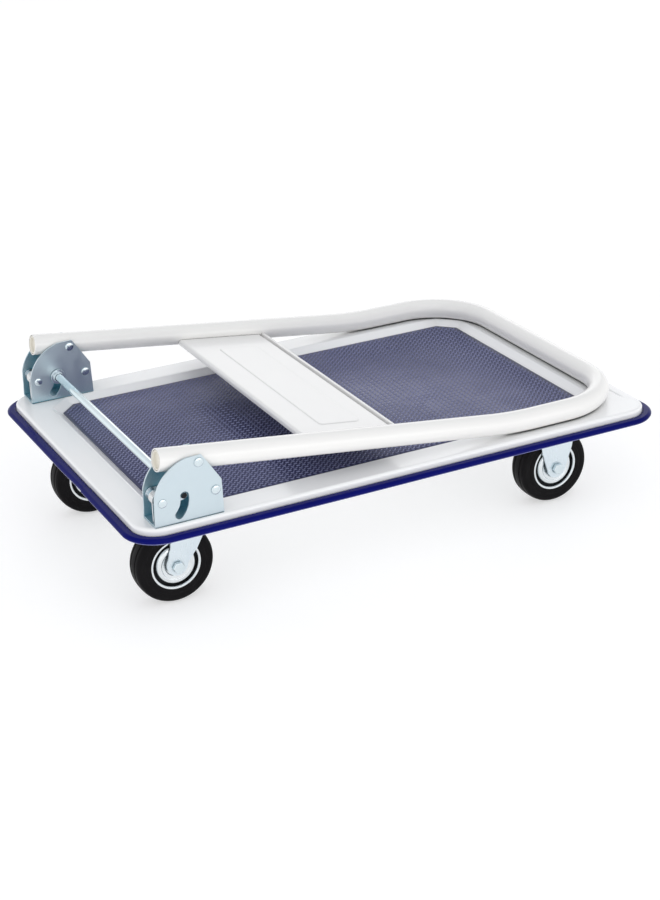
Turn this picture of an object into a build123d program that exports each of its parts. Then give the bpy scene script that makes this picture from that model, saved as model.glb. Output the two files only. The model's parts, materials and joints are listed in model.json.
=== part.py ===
from build123d import *
from math import sin, cos, tan, radians, degrees, atan2, hypot
import os

os.makedirs("parts", exist_ok=True)

# ---------------------------------------------------------------- driving dimensions (mm)
# +X towards the fixed casters, -X the handle end, +Z up, floor at z = 0
# deck pan, pressed from sheet
SHEET = 1.5
PAN_L, PAN_W, PAN_R = 700.0, 464.0, 33.0
PAN_TOP = 142.0
PAN_BASE = 123.5
LIP_IN = 8.0
WELL_FLOOR = 134.0
MAT_L, MAT_W, MAT_T, MAT_CUT = 596.0, 362.0, 2.2, 21.3
MAT_X = -3.0
WELL_GAP = 1.0
WELL_RUN = 11.0
GROOVE_X, GROOVE_HALF, GROOVE_R, GROOVE_DEEP = 335.0, 186.0, 2.6, 0.8
# edge bumper
BUMP_OUT = 12.0
BUMP_BOT, BUMP_TOP = 125.0, 134.0
BUMP_GAP_Y, BUMP_GAP = -68.0, 1.2
# casters
WHEEL_R, WHEEL_W = 50.0, 30.0
WHEEL_Y = 140.0
SWIVEL_X, TRAIL = -255.0, 26.0
FIXED_X = 255.0
PLATE_L, PLATE_W, PLATE_T, PLATE_TOP = 94.0, 70.0, 2.5, 125.0
BOLT_DX, BOLT_DY = 37.0, 26.0
LEG_IN, LEG_T = 17.3, 2.5
CROWN_Z, CROWN_R = 108.5, 28.0
AXLE_R, SLEEVE_R, HUB_IN, HUB_R = 4.0, 6.0, 6.06, 9.0
BALL_R, BALL_PITCH, BALL_Z, BALLS = 2.5, 23.5, 115.35, 24
KING_R = 6.0
# handle
TUBE_R, TUBE_WALL = 13.6, 1.5
TUBE_Y = 210.4
PIVOT_X, PIVOT_Z = -274.0, 211.3
SLOPE = 7.4
LOOP_X, LOOP_R, LOOP_Z = 324.0, 90.0, 156.0
BEND_R = 500.0
OVERHANG = 44.6
# handle brackets
HALF_GAP, BR_T, BEND_OUT = 15.6, 2.2, 2.1
PIN_R = 4.0
STOP_DX, STOP_DZ, STOP_R = 18.9, -38.6, 4.8
SPR_DX, SPR_DZ = -46.4, -40.3
# foot bar and latch
BAR_DX, BAR_DZ, BAR_R = -19.4, -37.5, 5.0
PRESS = 46.0
SLOT_HALF = 5.35
ARM_IN, ARM_T, STUB_R = 14.05, 1.15, 3.6
# cross panel of the handle, measured along the tube from the pivot
PANEL_A, PANEL_B, PANEL_T, PANEL_DROP, PANEL_EDGE = 158.0, 286.0, 1.2, 3.0, 7.0

S, C, T = sin(radians(SLOPE)), cos(radians(SLOPE)), tan(radians(SLOPE))
BR_OUT = TUBE_Y + HALF_GAP + BR_T
BR_IN = TUBE_Y - HALF_GAP - BR_T
WHEEL_SW_X = SWIVEL_X - TRAIL
STOP_X, STOP_Z = PIVOT_X + STOP_DX, PIVOT_Z + STOP_DZ
SPR_X, SPR_Z = PIVOT_X + SPR_DX, PIVOT_Z + SPR_DZ
BAR_X, BAR_Z = PIVOT_X + BAR_DX, PIVOT_Z + BAR_DZ
ARM_L = hypot(BAR_X - SPR_X, BAR_Z - SPR_Z)
ARM_A = degrees(atan2(BAR_Z - SPR_Z, BAR_X - SPR_X))


def octagon(half_l, half_w, cut, x0=MAT_X):
    return [
        (x0 - half_l + cut, -half_w), (x0 + half_l - cut, -half_w),
        (x0 + half_l, -half_w + cut), (x0 + half_l, half_w - cut),
        (x0 + half_l - cut, half_w), (x0 - half_l + cut, half_w),
        (x0 - half_l, half_w - cut), (x0 - half_l, -half_w + cut),
    ]


def polar(cx, cz, r, a):
    return (cx + r * cos(radians(a)), cz + r * sin(radians(a)))


def save(piece, name):
    piece.label = name
    export_step(piece, f"parts/{name}.step")


# ---------------------------------------------------------------- deck pan
WB_L, WB_W = MAT_L / 2 + WELL_GAP, MAT_W / 2 + WELL_GAP
WT_L, WT_W = WB_L + WELL_RUN, WB_W + WELL_RUN
CUT_B, CUT_T = MAT_CUT + 0.6, MAT_CUT + 0.6 + 0.586 * WELL_RUN
UNDER = 0.5

with BuildPart() as rim_void:
    with BuildSketch(Plane.XY.offset(PAN_BASE + SHEET)):
        RectangleRounded(PAN_L - 2 * SHEET, PAN_W - 2 * SHEET, PAN_R - SHEET)
    extrude(amount=PAN_TOP - SHEET - PAN_BASE - SHEET)
    with BuildSketch(Plane.XY.offset(WELL_FLOOR - SHEET)):
        with BuildLine():
            Polyline(*octagon(WB_L + UNDER, WB_W + UNDER, CUT_B + 0.3), close=True)
        make_face()
    with BuildSketch(Plane.XY.offset(PAN_TOP - SHEET)):
        with BuildLine():
            Polyline(*octagon(WT_L + UNDER, WT_W + UNDER, CUT_T + 0.3), close=True)
        make_face()
    loft(mode=Mode.SUBTRACT)

with BuildPart() as deck_pan:
    with BuildSketch(Plane.XY.offset(PAN_BASE)):
        RectangleRounded(PAN_L, PAN_W, PAN_R)
    extrude(amount=PAN_TOP - PAN_BASE)
    fillet(deck_pan.faces().sort_by(Axis.Z)[-1].edges(), radius=3.6)
    with BuildSketch(Plane.XY.offset(WELL_FLOOR)):
        with BuildLine():
            Polyline(*octagon(WB_L, WB_W, CUT_B), close=True)
        make_face()
    with BuildSketch(Plane.XY.offset(PAN_TOP)):
        with BuildLine():
            Polyline(*octagon(WT_L, WT_W, CUT_T), close=True)
        make_face()
    loft(mode=Mode.SUBTRACT)
    add(rim_void.part, mode=Mode.SUBTRACT)
    with BuildSketch(Plane.XY.offset(PAN_BASE)):
        RectangleRounded(PAN_L - 2 * LIP_IN, PAN_W - 2 * LIP_IN, PAN_R - LIP_IN)
    extrude(amount=SHEET, mode=Mode.SUBTRACT)
    with Locations(Location((GROOVE_X, 0, PAN_TOP + GROOVE_R - GROOVE_DEEP), (90, 0, 0))):
        Cylinder(GROOVE_R, 2 * GROOVE_HALF, mode=Mode.SUBTRACT)
    with BuildSketch(Plane.XY.offset(PAN_TOP)):
        with Locations((-310, TUBE_Y), (-262, TUBE_Y), (-310, -TUBE_Y), (-262, -TUBE_Y)):
            Circle(3.1)
    extrude(amount=-SHEET, mode=Mode.SUBTRACT)
save(deck_pan.part, "deck_pan")

with BuildPart() as deck_mat:
    with BuildSketch(Plane.XY.offset(WELL_FLOOR)):
        with BuildLine():
            Polyline(*octagon(MAT_L / 2, MAT_W / 2, MAT_CUT), close=True)
        make_face()
    extrude(amount=MAT_T)
    chamfer(deck_mat.faces().sort_by(Axis.Z)[-1].edges(), length=0.5)
save(deck_mat.part, "deck_mat")

with BuildPart() as edge_bumper:
    with BuildSketch(Plane.XY.offset(BUMP_BOT)):
        RectangleRounded(PAN_L + 2 * BUMP_OUT, PAN_W + 2 * BUMP_OUT, PAN_R + BUMP_OUT)
    extrude(amount=BUMP_TOP - BUMP_BOT)
    fillet(edge_bumper.faces().sort_by(Axis.Z)[-1].edges(), radius=4.4)
    fillet(edge_bumper.faces().sort_by(Axis.Z)[0].edges(), radius=4.4)
    with BuildSketch(Plane.XY.offset(BUMP_BOT)):
        RectangleRounded(PAN_L + 0.04, PAN_W + 0.04, PAN_R + 0.02)
    extrude(amount=BUMP_TOP - BUMP_BOT, mode=Mode.SUBTRACT)
    with Locations((-PAN_L / 2 - BUMP_OUT / 2, BUMP_GAP_Y, (BUMP_BOT + BUMP_TOP) / 2)):
        Box(BUMP_OUT * 1.5, BUMP_GAP, 20, mode=Mode.SUBTRACT)
save(edge_bumper.part, "edge_bumper")

# ---------------------------------------------------------------- under-deck channels
CH_TOP = WELL_FLOOR - SHEET
HAT = [(-62, CH_TOP), (-62, CH_TOP - 2), (-51.5, CH_TOP - 2), (-49.5, PLATE_TOP), (49.5, PLATE_TOP),
       (51.5, CH_TOP - 2), (62, CH_TOP - 2), (62, CH_TOP), (50.2, CH_TOP), (48.2, PLATE_TOP + 2),
       (-48.2, PLATE_TOP + 2), (-50.2, CH_TOP)]
CROSS_HALF = 178.0
for cx, label in ((SWIVEL_X, "crossmember_rear"), (FIXED_X, "crossmember_front")):
    with BuildPart() as crossmember:
        with BuildSketch(Plane.XZ.offset(-CROSS_HALF)):
            with BuildLine():
                Polyline(*[(cx + x, z) for x, z in HAT], close=True)
            make_face()
        extrude(amount=2 * CROSS_HALF)
        with BuildSketch(Plane.XY.offset(PLATE_TOP)):
            for sy in (-1, 1):
                with Locations((cx, sy * WHEEL_Y)):
                    with GridLocations(2 * BOLT_DX, 2 * BOLT_DY, 2, 2):
                        Circle(3.2)
                    if cx < 0:
                        Circle(12.0)
        extrude(amount=2.0, mode=Mode.SUBTRACT)
    save(crossmember.part, label)

with BuildPart() as deck_stiffeners:
    with BuildSketch(Plane.YZ.offset(-188)):
        for y0 in (-70, 70):
            with BuildLine():
                Polyline(*[(y0 + 0.5 * x, z) for x, z in [
                    (-62, CH_TOP), (-62, CH_TOP - 2), (-44, CH_TOP - 2), (-40, PLATE_TOP + 0.5), (40, PLATE_TOP + 0.5),
                    (44, CH_TOP - 2), (62, CH_TOP - 2), (62, CH_TOP), (41, CH_TOP), (37, PLATE_TOP + 2.5),
                    (-37, PLATE_TOP + 2.5), (-41, CH_TOP)]], close=True)
            make_face()
    extrude(amount=376)
save(deck_stiffeners.part, "deck_stiffeners")

# ---------------------------------------------------------------- caster fasteners
caster_spots = [(SWIVEL_X, -WHEEL_Y), (SWIVEL_X, WHEEL_Y), (FIXED_X, -WHEEL_Y), (FIXED_X, WHEEL_Y)]
bolt_spots = [(x + dx, y + dy) for x, y in caster_spots for dx in (-BOLT_DX, BOLT_DX) for dy in (-BOLT_DY, BOLT_DY)]
with BuildPart() as caster_bolts:
    with BuildSketch(Plane.XY.offset(PLATE_TOP + 2)):
        with Locations(*bolt_spots):
            RegularPolygon(5.0, 6, major_radius=False)
    extrude(amount=4.0)
    with BuildSketch(Plane.XY.offset(PLATE_TOP + 2)):
        with Locations(*bolt_spots):
            Circle(3.0)
    extrude(amount=-13.0)
save(caster_bolts.part, "caster_bolts")

with BuildPart() as caster_nuts:
    with BuildSketch(Plane.XY.offset(PLATE_TOP - PLATE_T)):
        with Locations(*bolt_spots):
            RegularPolygon(5.0, 6, major_radius=False)
            Circle(3.04, mode=Mode.SUBTRACT)
    extrude(amount=-5.0)
save(caster_nuts.part, "caster_nuts")

# ---------------------------------------------------------------- casters
AX_Z = WHEEL_R


# side outlines of the raked leg and of the straight one, in x and z
ax = WHEEL_SW_X
with BuildSketch() as leg_swivel:
    with BuildLine():
        Line((SWIVEL_X - 24, CROWN_Z), (ax - 6.8, 82))
        Line((ax - 6.8, 82), (ax - 11.2, 60))
        ThreePointArc((ax - 11.2, 60), (ax - 6.5, AX_Z - 10.2), (ax + 3.5, AX_Z - 11.7))
        ThreePointArc((ax + 3.5, AX_Z - 11.7), (ax + 10.6, AX_Z - 6.2), (ax + 13.5, AX_Z + 2))
        Line((ax + 13.5, AX_Z + 2), (ax + 26.5, 68.8))
        Line((ax + 26.5, 68.8), (SWIVEL_X + 22, CROWN_Z))
        Line((SWIVEL_X + 22, CROWN_Z), (SWIVEL_X - 24, CROWN_Z))
    make_face()

ax = FIXED_X
with BuildSketch() as leg_fixed:
    with BuildLine():
        Line((ax - 29, PLATE_TOP - PLATE_T), (ax - 22.8, 76))
        Line((ax - 22.8, 76), (ax - 13.6, AX_Z - 1))
        ThreePointArc((ax - 13.6, AX_Z - 1), (ax, AX_Z - 13.6), (ax + 13.6, AX_Z - 1))
        Line((ax + 13.6, AX_Z - 1), (ax + 22.8, 76))
        Line((ax + 22.8, 76), (ax + 29, PLATE_TOP - PLATE_T))
        Line((ax + 29, PLATE_TOP - PLATE_T), (ax - 29, PLATE_TOP - PLATE_T))
    make_face()


for side, cy in (("right", -WHEEL_Y), ("left", WHEEL_Y)):
    # swivel caster: top plate with its pressed race, fixed to the deck
    with BuildPart() as swivel_plate:
        with BuildSketch(Plane.XY.offset(PLATE_TOP - PLATE_T)):
            with Locations((SWIVEL_X, cy)):
                RectangleRounded(PLATE_L, PLATE_W, 8)
                Circle(KING_R + 0.05, mode=Mode.SUBTRACT)
                with GridLocations(2 * BOLT_DX, 2 * BOLT_DY, 2, 2):
                    Circle(3.2, mode=Mode.SUBTRACT)
        extrude(amount=PLATE_T)
        with BuildSketch(Plane.XY.offset(PLATE_TOP - PLATE_T)):
            with Locations((SWIVEL_X, cy)):
                Circle(31.0)
                Circle(17.0, mode=Mode.SUBTRACT)
        extrude(amount=-(PLATE_TOP - PLATE_T - 117.2))
        with BuildSketch(Plane.XY.offset(117.2)):
            with Locations((SWIVEL_X, cy)):
                Circle(31.0)
                Circle(29.4, mode=Mode.SUBTRACT)
        extrude(amount=-4.4)
        with Locations((SWIVEL_X, cy, BALL_Z)):
            Torus(BALL_PITCH, BALL_R + 0.05, mode=Mode.SUBTRACT)
    save(swivel_plate.part, f"swivel_plate_{side}")

    # raked fork that turns under it
    with BuildPart() as swivel_fork:
        with BuildSketch(Plane.XZ.offset(-cy + LEG_IN)):
            add(leg_swivel.sketch)
        extrude(amount=LEG_T)
        with BuildSketch(Plane.XZ.offset(-cy - LEG_IN)):
            add(leg_swivel.sketch)
        extrude(amount=-LEG_T)
        with BuildSketch(Plane.XY.offset(CROWN_Z)):
            with Locations((SWIVEL_X, cy)):
                Circle(CROWN_R)
            with Locations((SWIVEL_X - 1, cy)):
                RectangleRounded(46, 2 * (LEG_IN + LEG_T), 3)
        extrude(amount=2.5)
        with BuildSketch(Plane.XY.offset(CROWN_Z + 2.5)):
            with Locations((SWIVEL_X, cy)):
                Circle(CROWN_R)
                Circle(16.0, mode=Mode.SUBTRACT)
        extrude(amount=2.5)
        with Locations((SWIVEL_X, cy, BALL_Z)):
            Torus(BALL_PITCH, BALL_R + 0.05, mode=Mode.SUBTRACT)
        with BuildSketch(Plane.XY.offset(CROWN_Z)):
            with Locations((SWIVEL_X, cy)):
                Circle(KING_R + 0.06)
        extrude(amount=2.5, mode=Mode.SUBTRACT)
        with Locations(Location((WHEEL_SW_X, cy, AX_Z), (90, 0, 0))):
            Cylinder(AXLE_R + 0.05, 60, mode=Mode.SUBTRACT)
    save(swivel_fork.part, f"swivel_fork_{side}")

    with BuildPart() as swivel_balls:
        with Locations((SWIVEL_X, cy, BALL_Z)):
            with PolarLocations(BALL_PITCH, BALLS):
                Sphere(BALL_R)
    save(swivel_balls.part, f"swivel_balls_{side}")

    # fixed caster: plate and straight fork in one stamping
    with BuildPart() as fixed_fork:
        with BuildSketch(Plane.XY.offset(PLATE_TOP - PLATE_T)):
            with Locations((FIXED_X, cy)):
                RectangleRounded(PLATE_L, PLATE_W, 8)
                with GridLocations(2 * BOLT_DX, 2 * BOLT_DY, 2, 2):
                    Circle(3.2, mode=Mode.SUBTRACT)
        extrude(amount=PLATE_T)
        with BuildSketch(Plane.XZ.offset(-cy + LEG_IN)):
            add(leg_fixed.sketch)
        extrude(amount=LEG_T)
        with BuildSketch(Plane.XZ.offset(-cy - LEG_IN)):
            add(leg_fixed.sketch)
        extrude(amount=-LEG_T)
        with Locations(Location((FIXED_X, cy, AX_Z), (90, 0, 0))):
            Cylinder(AXLE_R + 0.05, 60, mode=Mode.SUBTRACT)
    save(fixed_fork.part, f"fixed_fork_{side}")

    for kind, wx in (("swivel", WHEEL_SW_X), ("fixed", FIXED_X)):
        out = -1 if cy < 0 else 1
        face = LEG_IN + LEG_T
        # axle bolt with its head on the outer side and the nut towards the middle
        with BuildPart() as axle_bolt:
            with BuildSketch(Plane(origin=(wx, cy + out * face, AX_Z), x_dir=(1, 0, 0), z_dir=(0, out, 0))):
                RegularPolygon(6.5, 6, major_radius=False)
            extrude(amount=5.3)
            chamfer(axle_bolt.faces().sort_by(Axis.Y)[-1 if out > 0 else 0].edges(), length=0.6)
            with BuildSketch(Plane(origin=(wx, cy + out * face, AX_Z), x_dir=(1, 0, 0), z_dir=(0, -out, 0))):
                Circle(AXLE_R)
            extrude(amount=2 * face + 9)
        save(axle_bolt.part, f"axle_bolt_{kind}_{side}")
        with BuildPart() as axle_nut:
            with BuildSketch(Plane(origin=(wx, cy - out * face, AX_Z), x_dir=(1, 0, 0), z_dir=(0, -out, 0))):
                RegularPolygon(6.5, 6, major_radius=False)
                Circle(AXLE_R + 0.04, mode=Mode.SUBTRACT)
            extrude(amount=6.5)
        save(axle_nut.part, f"axle_nut_{kind}_{side}")
        # tyre with two fine tread lines
        with BuildPart() as tyre:
            with BuildSketch(Plane.YZ.offset(wx)):
                with BuildLine():
                    Polyline(*[(cy + a, AX_Z + r) for a, r in [
                        (-14.2, 31.45), (-15.0, 33.4), (-15.0, 45.2), (-13.6, 47.6), (-10.5, 49.2),
                        (-7.1, 49.7), (-6.5, 48.4), (-5.3, 48.4), (-4.7, 49.85), (0, 50.0), (4.7, 49.85), (5.3, 48.4),
                        (6.5, 48.4), (7.1, 49.7), (10.5, 49.2), (13.6, 47.6), (15.0, 45.2), (15.0, 33.4), (14.2, 31.45)]], close=True)
                make_face()
            revolve(axis=Axis((wx, cy, AX_Z), (0, 1, 0)))
        save(tyre.part, f"tyre_{kind}_{side}")
        # two pressed rim halves back to back
        with BuildPart() as rim:
            with BuildSketch(Plane.YZ.offset(wx)):
                for sg in (-1, 1):
                    with BuildLine():
                        Polyline(*[(cy + sg * a, AX_Z + r) for a, r in [
                            (0.2, 31.4), (14.1, 31.4), (14.1, 28.7), (7.8, 28.3), (7.8, 25.6), (13.0, 24.9),
                            (15.2, 21.0), (14.6, 17.0), (13.4, 14.5), (13.4, 9.05), (11.9, 9.05), (11.9, 15.4),
                            (13.0, 17.6), (13.6, 21.0), (12.0, 23.6), (6.3, 24.3), (6.3, 29.9), (0.2, 29.9)]], close=True)
                    make_face()
            revolve(axis=Axis((wx, cy, AX_Z), (0, 1, 0)))
        save(rim.part, f"rim_{kind}_{side}")
        with BuildPart() as hub:
            with BuildSketch(Plane.YZ.offset(wx)):
                with BuildLine():
                    Polyline(*[(cy + a, AX_Z + r) for a, r in [
                        (-16.8, HUB_IN), (16.8, HUB_IN), (16.8, 7.6), (15.8, HUB_R), (-15.8, HUB_R), (-16.8, 7.6)]], close=True)
                make_face()
            revolve(axis=Axis((wx, cy, AX_Z), (0, 1, 0)))
        save(hub.part, f"hub_{kind}_{side}")

with BuildPart() as king_pins:
    for cy in (-WHEEL_Y, WHEEL_Y):
        with Locations((SWIVEL_X, cy, 104.0)):
            Cylinder(KING_R, 22.0, align=(Align.CENTER, Align.CENTER, Align.MIN))
            Cylinder(9.5, 4.2, align=(Align.CENTER, Align.CENTER, Align.MIN))
        with Locations((SWIVEL_X, cy, PLATE_TOP)):
            Cylinder(9.0, 2.6, align=(Align.CENTER, Align.CENTER, Align.MIN))
save(king_pins.part, "king_pins")

with BuildPart() as axle_sleeves_fixed:
    for cy in (-WHEEL_Y, WHEEL_Y):
        with Locations(Location((FIXED_X, cy, AX_Z), (90, 0, 0))):
            Cylinder(SLEEVE_R, 2 * LEG_IN - 0.1)
            Cylinder(AXLE_R + 0.05, 2 * LEG_IN + 2, mode=Mode.SUBTRACT)
save(axle_sleeves_fixed.part, "axle_sleeves_fixed")
for side, cy in (("right", -WHEEL_Y), ("left", WHEEL_Y)):
    with BuildPart() as axle_sleeve:
        with Locations(Location((WHEEL_SW_X, cy, AX_Z), (90, 0, 0))):
            Cylinder(SLEEVE_R, 2 * LEG_IN - 0.1)
            Cylinder(AXLE_R + 0.05, 2 * LEG_IN + 2, mode=Mode.SUBTRACT)
    save(axle_sleeve.part, f"axle_sleeve_swivel_{side}")

# ---------------------------------------------------------------- handle brackets
px, pz = PIVOT_X, PIVOT_Z
with BuildSketch() as bracket_outline:
    with BuildLine():
        Line((px - 57, PAN_TOP), (px + 28, PAN_TOP))
        Line((px + 28, PAN_TOP), (px + 26.7, pz - 26.7))
        Line((px + 26.7, pz - 26.7), (px + 4, pz + 8.5))
        Line((px + 4, pz + 8.5), (px - 15, pz + 7.8))
        ThreePointArc((px - 15, pz + 7.8), (px - 39, pz - 4.4), (px - 56, pz - 34))
        Line((px - 56, pz - 34), (px - 57, PAN_TOP))
    make_face()


a0, a1 = ARM_A + 0.6, ARM_A - PRESS - 3.5
ro, ri = ARM_L + SLOT_HALF, ARM_L - SLOT_HALF
am = (a0 + a1) / 2
c0, c1 = polar(SPR_X, SPR_Z, ARM_L, a0), polar(SPR_X, SPR_Z, ARM_L, a1)
with BuildSketch() as slot_outline:
    with BuildLine():
        ThreePointArc(polar(SPR_X, SPR_Z, ro, a0), polar(SPR_X, SPR_Z, ro, am), polar(SPR_X, SPR_Z, ro, a1))
        ThreePointArc(polar(SPR_X, SPR_Z, ro, a1), polar(*c1, SLOT_HALF, a1 - 90), polar(SPR_X, SPR_Z, ri, a1))
        ThreePointArc(polar(SPR_X, SPR_Z, ri, a1), polar(SPR_X, SPR_Z, ri, am), polar(SPR_X, SPR_Z, ri, a0))
        ThreePointArc(polar(SPR_X, SPR_Z, ri, a0), polar(*c0, SLOT_HALF, a0 + 90), polar(SPR_X, SPR_Z, ro, a0))
    make_face()


with BuildPart() as bracket:
    with BuildSketch(Plane.XZ.offset(BR_IN)):
        add(bracket_outline.sketch)
    extrude(amount=BR_OUT - BR_IN)
    with Locations((PIVOT_X, -TUBE_Y, PAN_TOP + BR_T + 60)):
        Box(200, 2 * HALF_GAP, 120, mode=Mode.SUBTRACT)
    with BuildSketch(Plane.XZ.offset(BR_IN - 5)):
        add(slot_outline.sketch)
        with Locations((PIVOT_X, PIVOT_Z), (STOP_X, STOP_Z), (SPR_X, SPR_Z)):
            Circle(PIN_R + 0.05)
    extrude(amount=60, mode=Mode.SUBTRACT)
    with BuildSketch(Plane.XY.offset(PAN_TOP)):
        with Locations((-310, -TUBE_Y), (-262, -TUBE_Y)):
            Circle(3.1)
    extrude(amount=BR_T, mode=Mode.SUBTRACT)
    # the two folds at the bottom
    folds = [e for e in bracket.edges().filter_by(Axis.X) if abs(e.center().Z - PAN_TOP) < 0.01 and e.length > 50]
    fillet(folds, radius=BEND_OUT)
save(bracket.part, "bracket_right")
save(mirror(bracket.part, about=Plane.XZ), "bracket_left")


def pin_pair(part_name, x, z, body_r):
    """two rivets through both brackets, thicker between the plates"""
    with BuildPart() as pins:
        for sg in (-1, 1):
            with Locations(Location((x, sg * TUBE_Y, z), (90, 0, 0))):
                Cylinder(PIN_R, BR_OUT - BR_IN + 3.0)
                if body_r > PIN_R:
                    Cylinder(body_r, 2 * HALF_GAP - 0.1)
            for e in (-1, 1):
                y0 = sg * TUBE_Y + e * (BR_OUT - BR_IN) / 2
                with BuildSketch(Plane(origin=(x, y0, z), x_dir=(1, 0, 0), z_dir=(0, e, 0))):
                    Circle(5.6)
                extrude(amount=2.6, taper=22)
    save(pins.part, part_name)


pin_pair("pivot_pins", PIVOT_X, PIVOT_Z, PIN_R)
pin_pair("stop_pins", STOP_X, STOP_Z, STOP_R)
pin_pair("spring_pins", SPR_X, SPR_Z, PIN_R)

with BuildPart() as pivot_washers:
    for sg in (-1, 1):
        for e in (-1, 1):
            with Locations(Location((PIVOT_X, sg * TUBE_Y + e * 14.65, PIVOT_Z), (90, 0, 0))):
                Cylinder(8.4, 1.2)
                Cylinder(PIN_R + 0.06, 3, mode=Mode.SUBTRACT)
save(pivot_washers.part, "pivot_washers")

br_bolt_spots = [(x, s * TUBE_Y) for x in (-310, -262) for s in (-1, 1)]
with BuildPart() as bracket_bolts:
    with BuildSketch(Plane.XY.offset(PAN_TOP + BR_T)):
        with Locations(*br_bolt_spots):
            Circle(6.0)
    extrude(amount=2.6, taper=20)
    with BuildSketch(Plane.XY.offset(PAN_TOP + BR_T)):
        with Locations(*br_bolt_spots):
            Circle(3.0)
    extrude(amount=-(BR_T + SHEET + 7))
save(bracket_bolts.part, "bracket_bolts")
with BuildPart() as bracket_nuts:
    with BuildSketch(Plane.XY.offset(PAN_TOP - SHEET)):
        with Locations(*br_bolt_spots):
            RegularPolygon(5.0, 6, major_radius=False)
            Circle(3.04, mode=Mode.SUBTRACT)
    extrude(amount=-5.0)
save(bracket_nuts.part, "bracket_nuts")

# ---------------------------------------------------------------- latch springs
SPRING_R, WIRE, SPRING_PITCH, SPRING_TURNS = 7.2, 0.85, 2.3, 4.25
SPRING_H = SPRING_PITCH * SPRING_TURNS
with BuildPart() as latch_spring:
    with BuildLine() as coil:
        Helix(pitch=SPRING_PITCH, height=SPRING_H, radius=SPRING_R)
    with BuildSketch(Plane(origin=coil.line @ 0, z_dir=coil.line % 0)):
        Circle(WIRE)
    sweep(path=coil.line, is_frenet=True)
    # one leg down to the bracket floor, one leg along the arm
    with Locations(Location((SPRING_R, 0.2, 0), (90, 0, 0))):
        Cylinder(WIRE, 26.6, align=(Align.CENTER, Align.CENTER, Align.MIN))
    with Locations(Location((0.2, SPRING_R, SPRING_H), (0, -90, 0))):
        Cylinder(WIRE, 8.2, align=(Align.CENTER, Align.CENTER, Align.MIN))
for sg, label in ((-1, "latch_spring_right"), (1, "latch_spring_left")):
    spring = latch_spring.part.moved(Location((0, 0, -SPRING_H / 2)))
    spring = spring.moved(Location((0, 0, 0), (0, 0, 180)))
    seat = Plane(origin=(SPR_X, sg * TUBE_Y, SPR_Z), x_dir=(1, 0, 0), z_dir=(0, 1, 0))
    save(spring.moved(seat.location), label)

# ---------------------------------------------------------------- handle
DROP = BEND_R * (1 - cos(radians(SLOPE)))
RUN = BEND_R * S
B0_Z = LOOP_Z + DROP
B0_X = PIVOT_X + (PIVOT_Z - B0_Z) / T
B1_X = B0_X + RUN
END_X, END_Z = PIVOT_X - OVERHANG * C, PIVOT_Z + OVERHANG * S
hs = radians(SLOPE / 2)
BM_X = B1_X - BEND_R * sin(hs)
BM_Z = LOOP_Z + BEND_R * (1 - cos(hs))
CX, CY = LOOP_X - LOOP_R, TUBE_Y - LOOP_R
k = LOOP_R * cos(radians(45))


with BuildPart() as handle_tube:
    with BuildLine() as path:
        Line((END_X, -TUBE_Y, END_Z), (B0_X, -TUBE_Y, B0_Z))
        ThreePointArc((B0_X, -TUBE_Y, B0_Z), (BM_X, -TUBE_Y, BM_Z), (B1_X, -TUBE_Y, LOOP_Z))
        Line((B1_X, -TUBE_Y, LOOP_Z), (CX, -TUBE_Y, LOOP_Z))
        ThreePointArc((CX, -TUBE_Y, LOOP_Z), (CX + k, -CY - k, LOOP_Z), (LOOP_X, -CY, LOOP_Z))
        Line((LOOP_X, -CY, LOOP_Z), (LOOP_X, CY, LOOP_Z))
        ThreePointArc((LOOP_X, CY, LOOP_Z), (CX + k, CY + k, LOOP_Z), (CX, TUBE_Y, LOOP_Z))
        Line((CX, TUBE_Y, LOOP_Z), (B1_X, TUBE_Y, LOOP_Z))
        ThreePointArc((B1_X, TUBE_Y, LOOP_Z), (BM_X, TUBE_Y, BM_Z), (B0_X, TUBE_Y, B0_Z))
        Line((B0_X, TUBE_Y, B0_Z), (END_X, TUBE_Y, END_Z))
    with BuildSketch(Plane(origin=(END_X, -TUBE_Y, END_Z), z_dir=(C, 0, -S))):
        Circle(TUBE_R)
        Circle(TUBE_R - TUBE_WALL, mode=Mode.SUBTRACT)
    sweep(path=path.line)
    for sg in (-1, 1):
        with Locations(Location((PIVOT_X, sg * TUBE_Y, PIVOT_Z), (90, 0, 0))):
            Cylinder(6.0, 40, mode=Mode.SUBTRACT)
save(handle_tube.part, "handle_tube")

with BuildPart() as pivot_bushes:
    for sg in (-1, 1):
        with Locations(Location((PIVOT_X, sg * TUBE_Y, PIVOT_Z), (90, 0, 0))):
            Cylinder(5.95, 27.2)
            Cylinder(PIN_R + 0.06, 40, mode=Mode.SUBTRACT)
save(pivot_bushes.part, "pivot_bushes")

with BuildPart() as tube_plugs:
    for sg in (-1, 1):
        with BuildSketch(Plane(origin=(END_X + 1.2 * C, sg * TUBE_Y, END_Z - 1.2 * S), z_dir=(C, 0, -S))):
            Circle(TUBE_R - TUBE_WALL - 0.05)
        extrude(amount=9)
        with BuildSketch(Plane(origin=(END_X + 1.2 * C, sg * TUBE_Y, END_Z - 1.2 * S), z_dir=(C, 0, -S))):
            Circle(TUBE_R - TUBE_WALL - 2.0)
        extrude(amount=3.5, mode=Mode.SUBTRACT)
save(tube_plugs.part, "tube_plugs")

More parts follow.
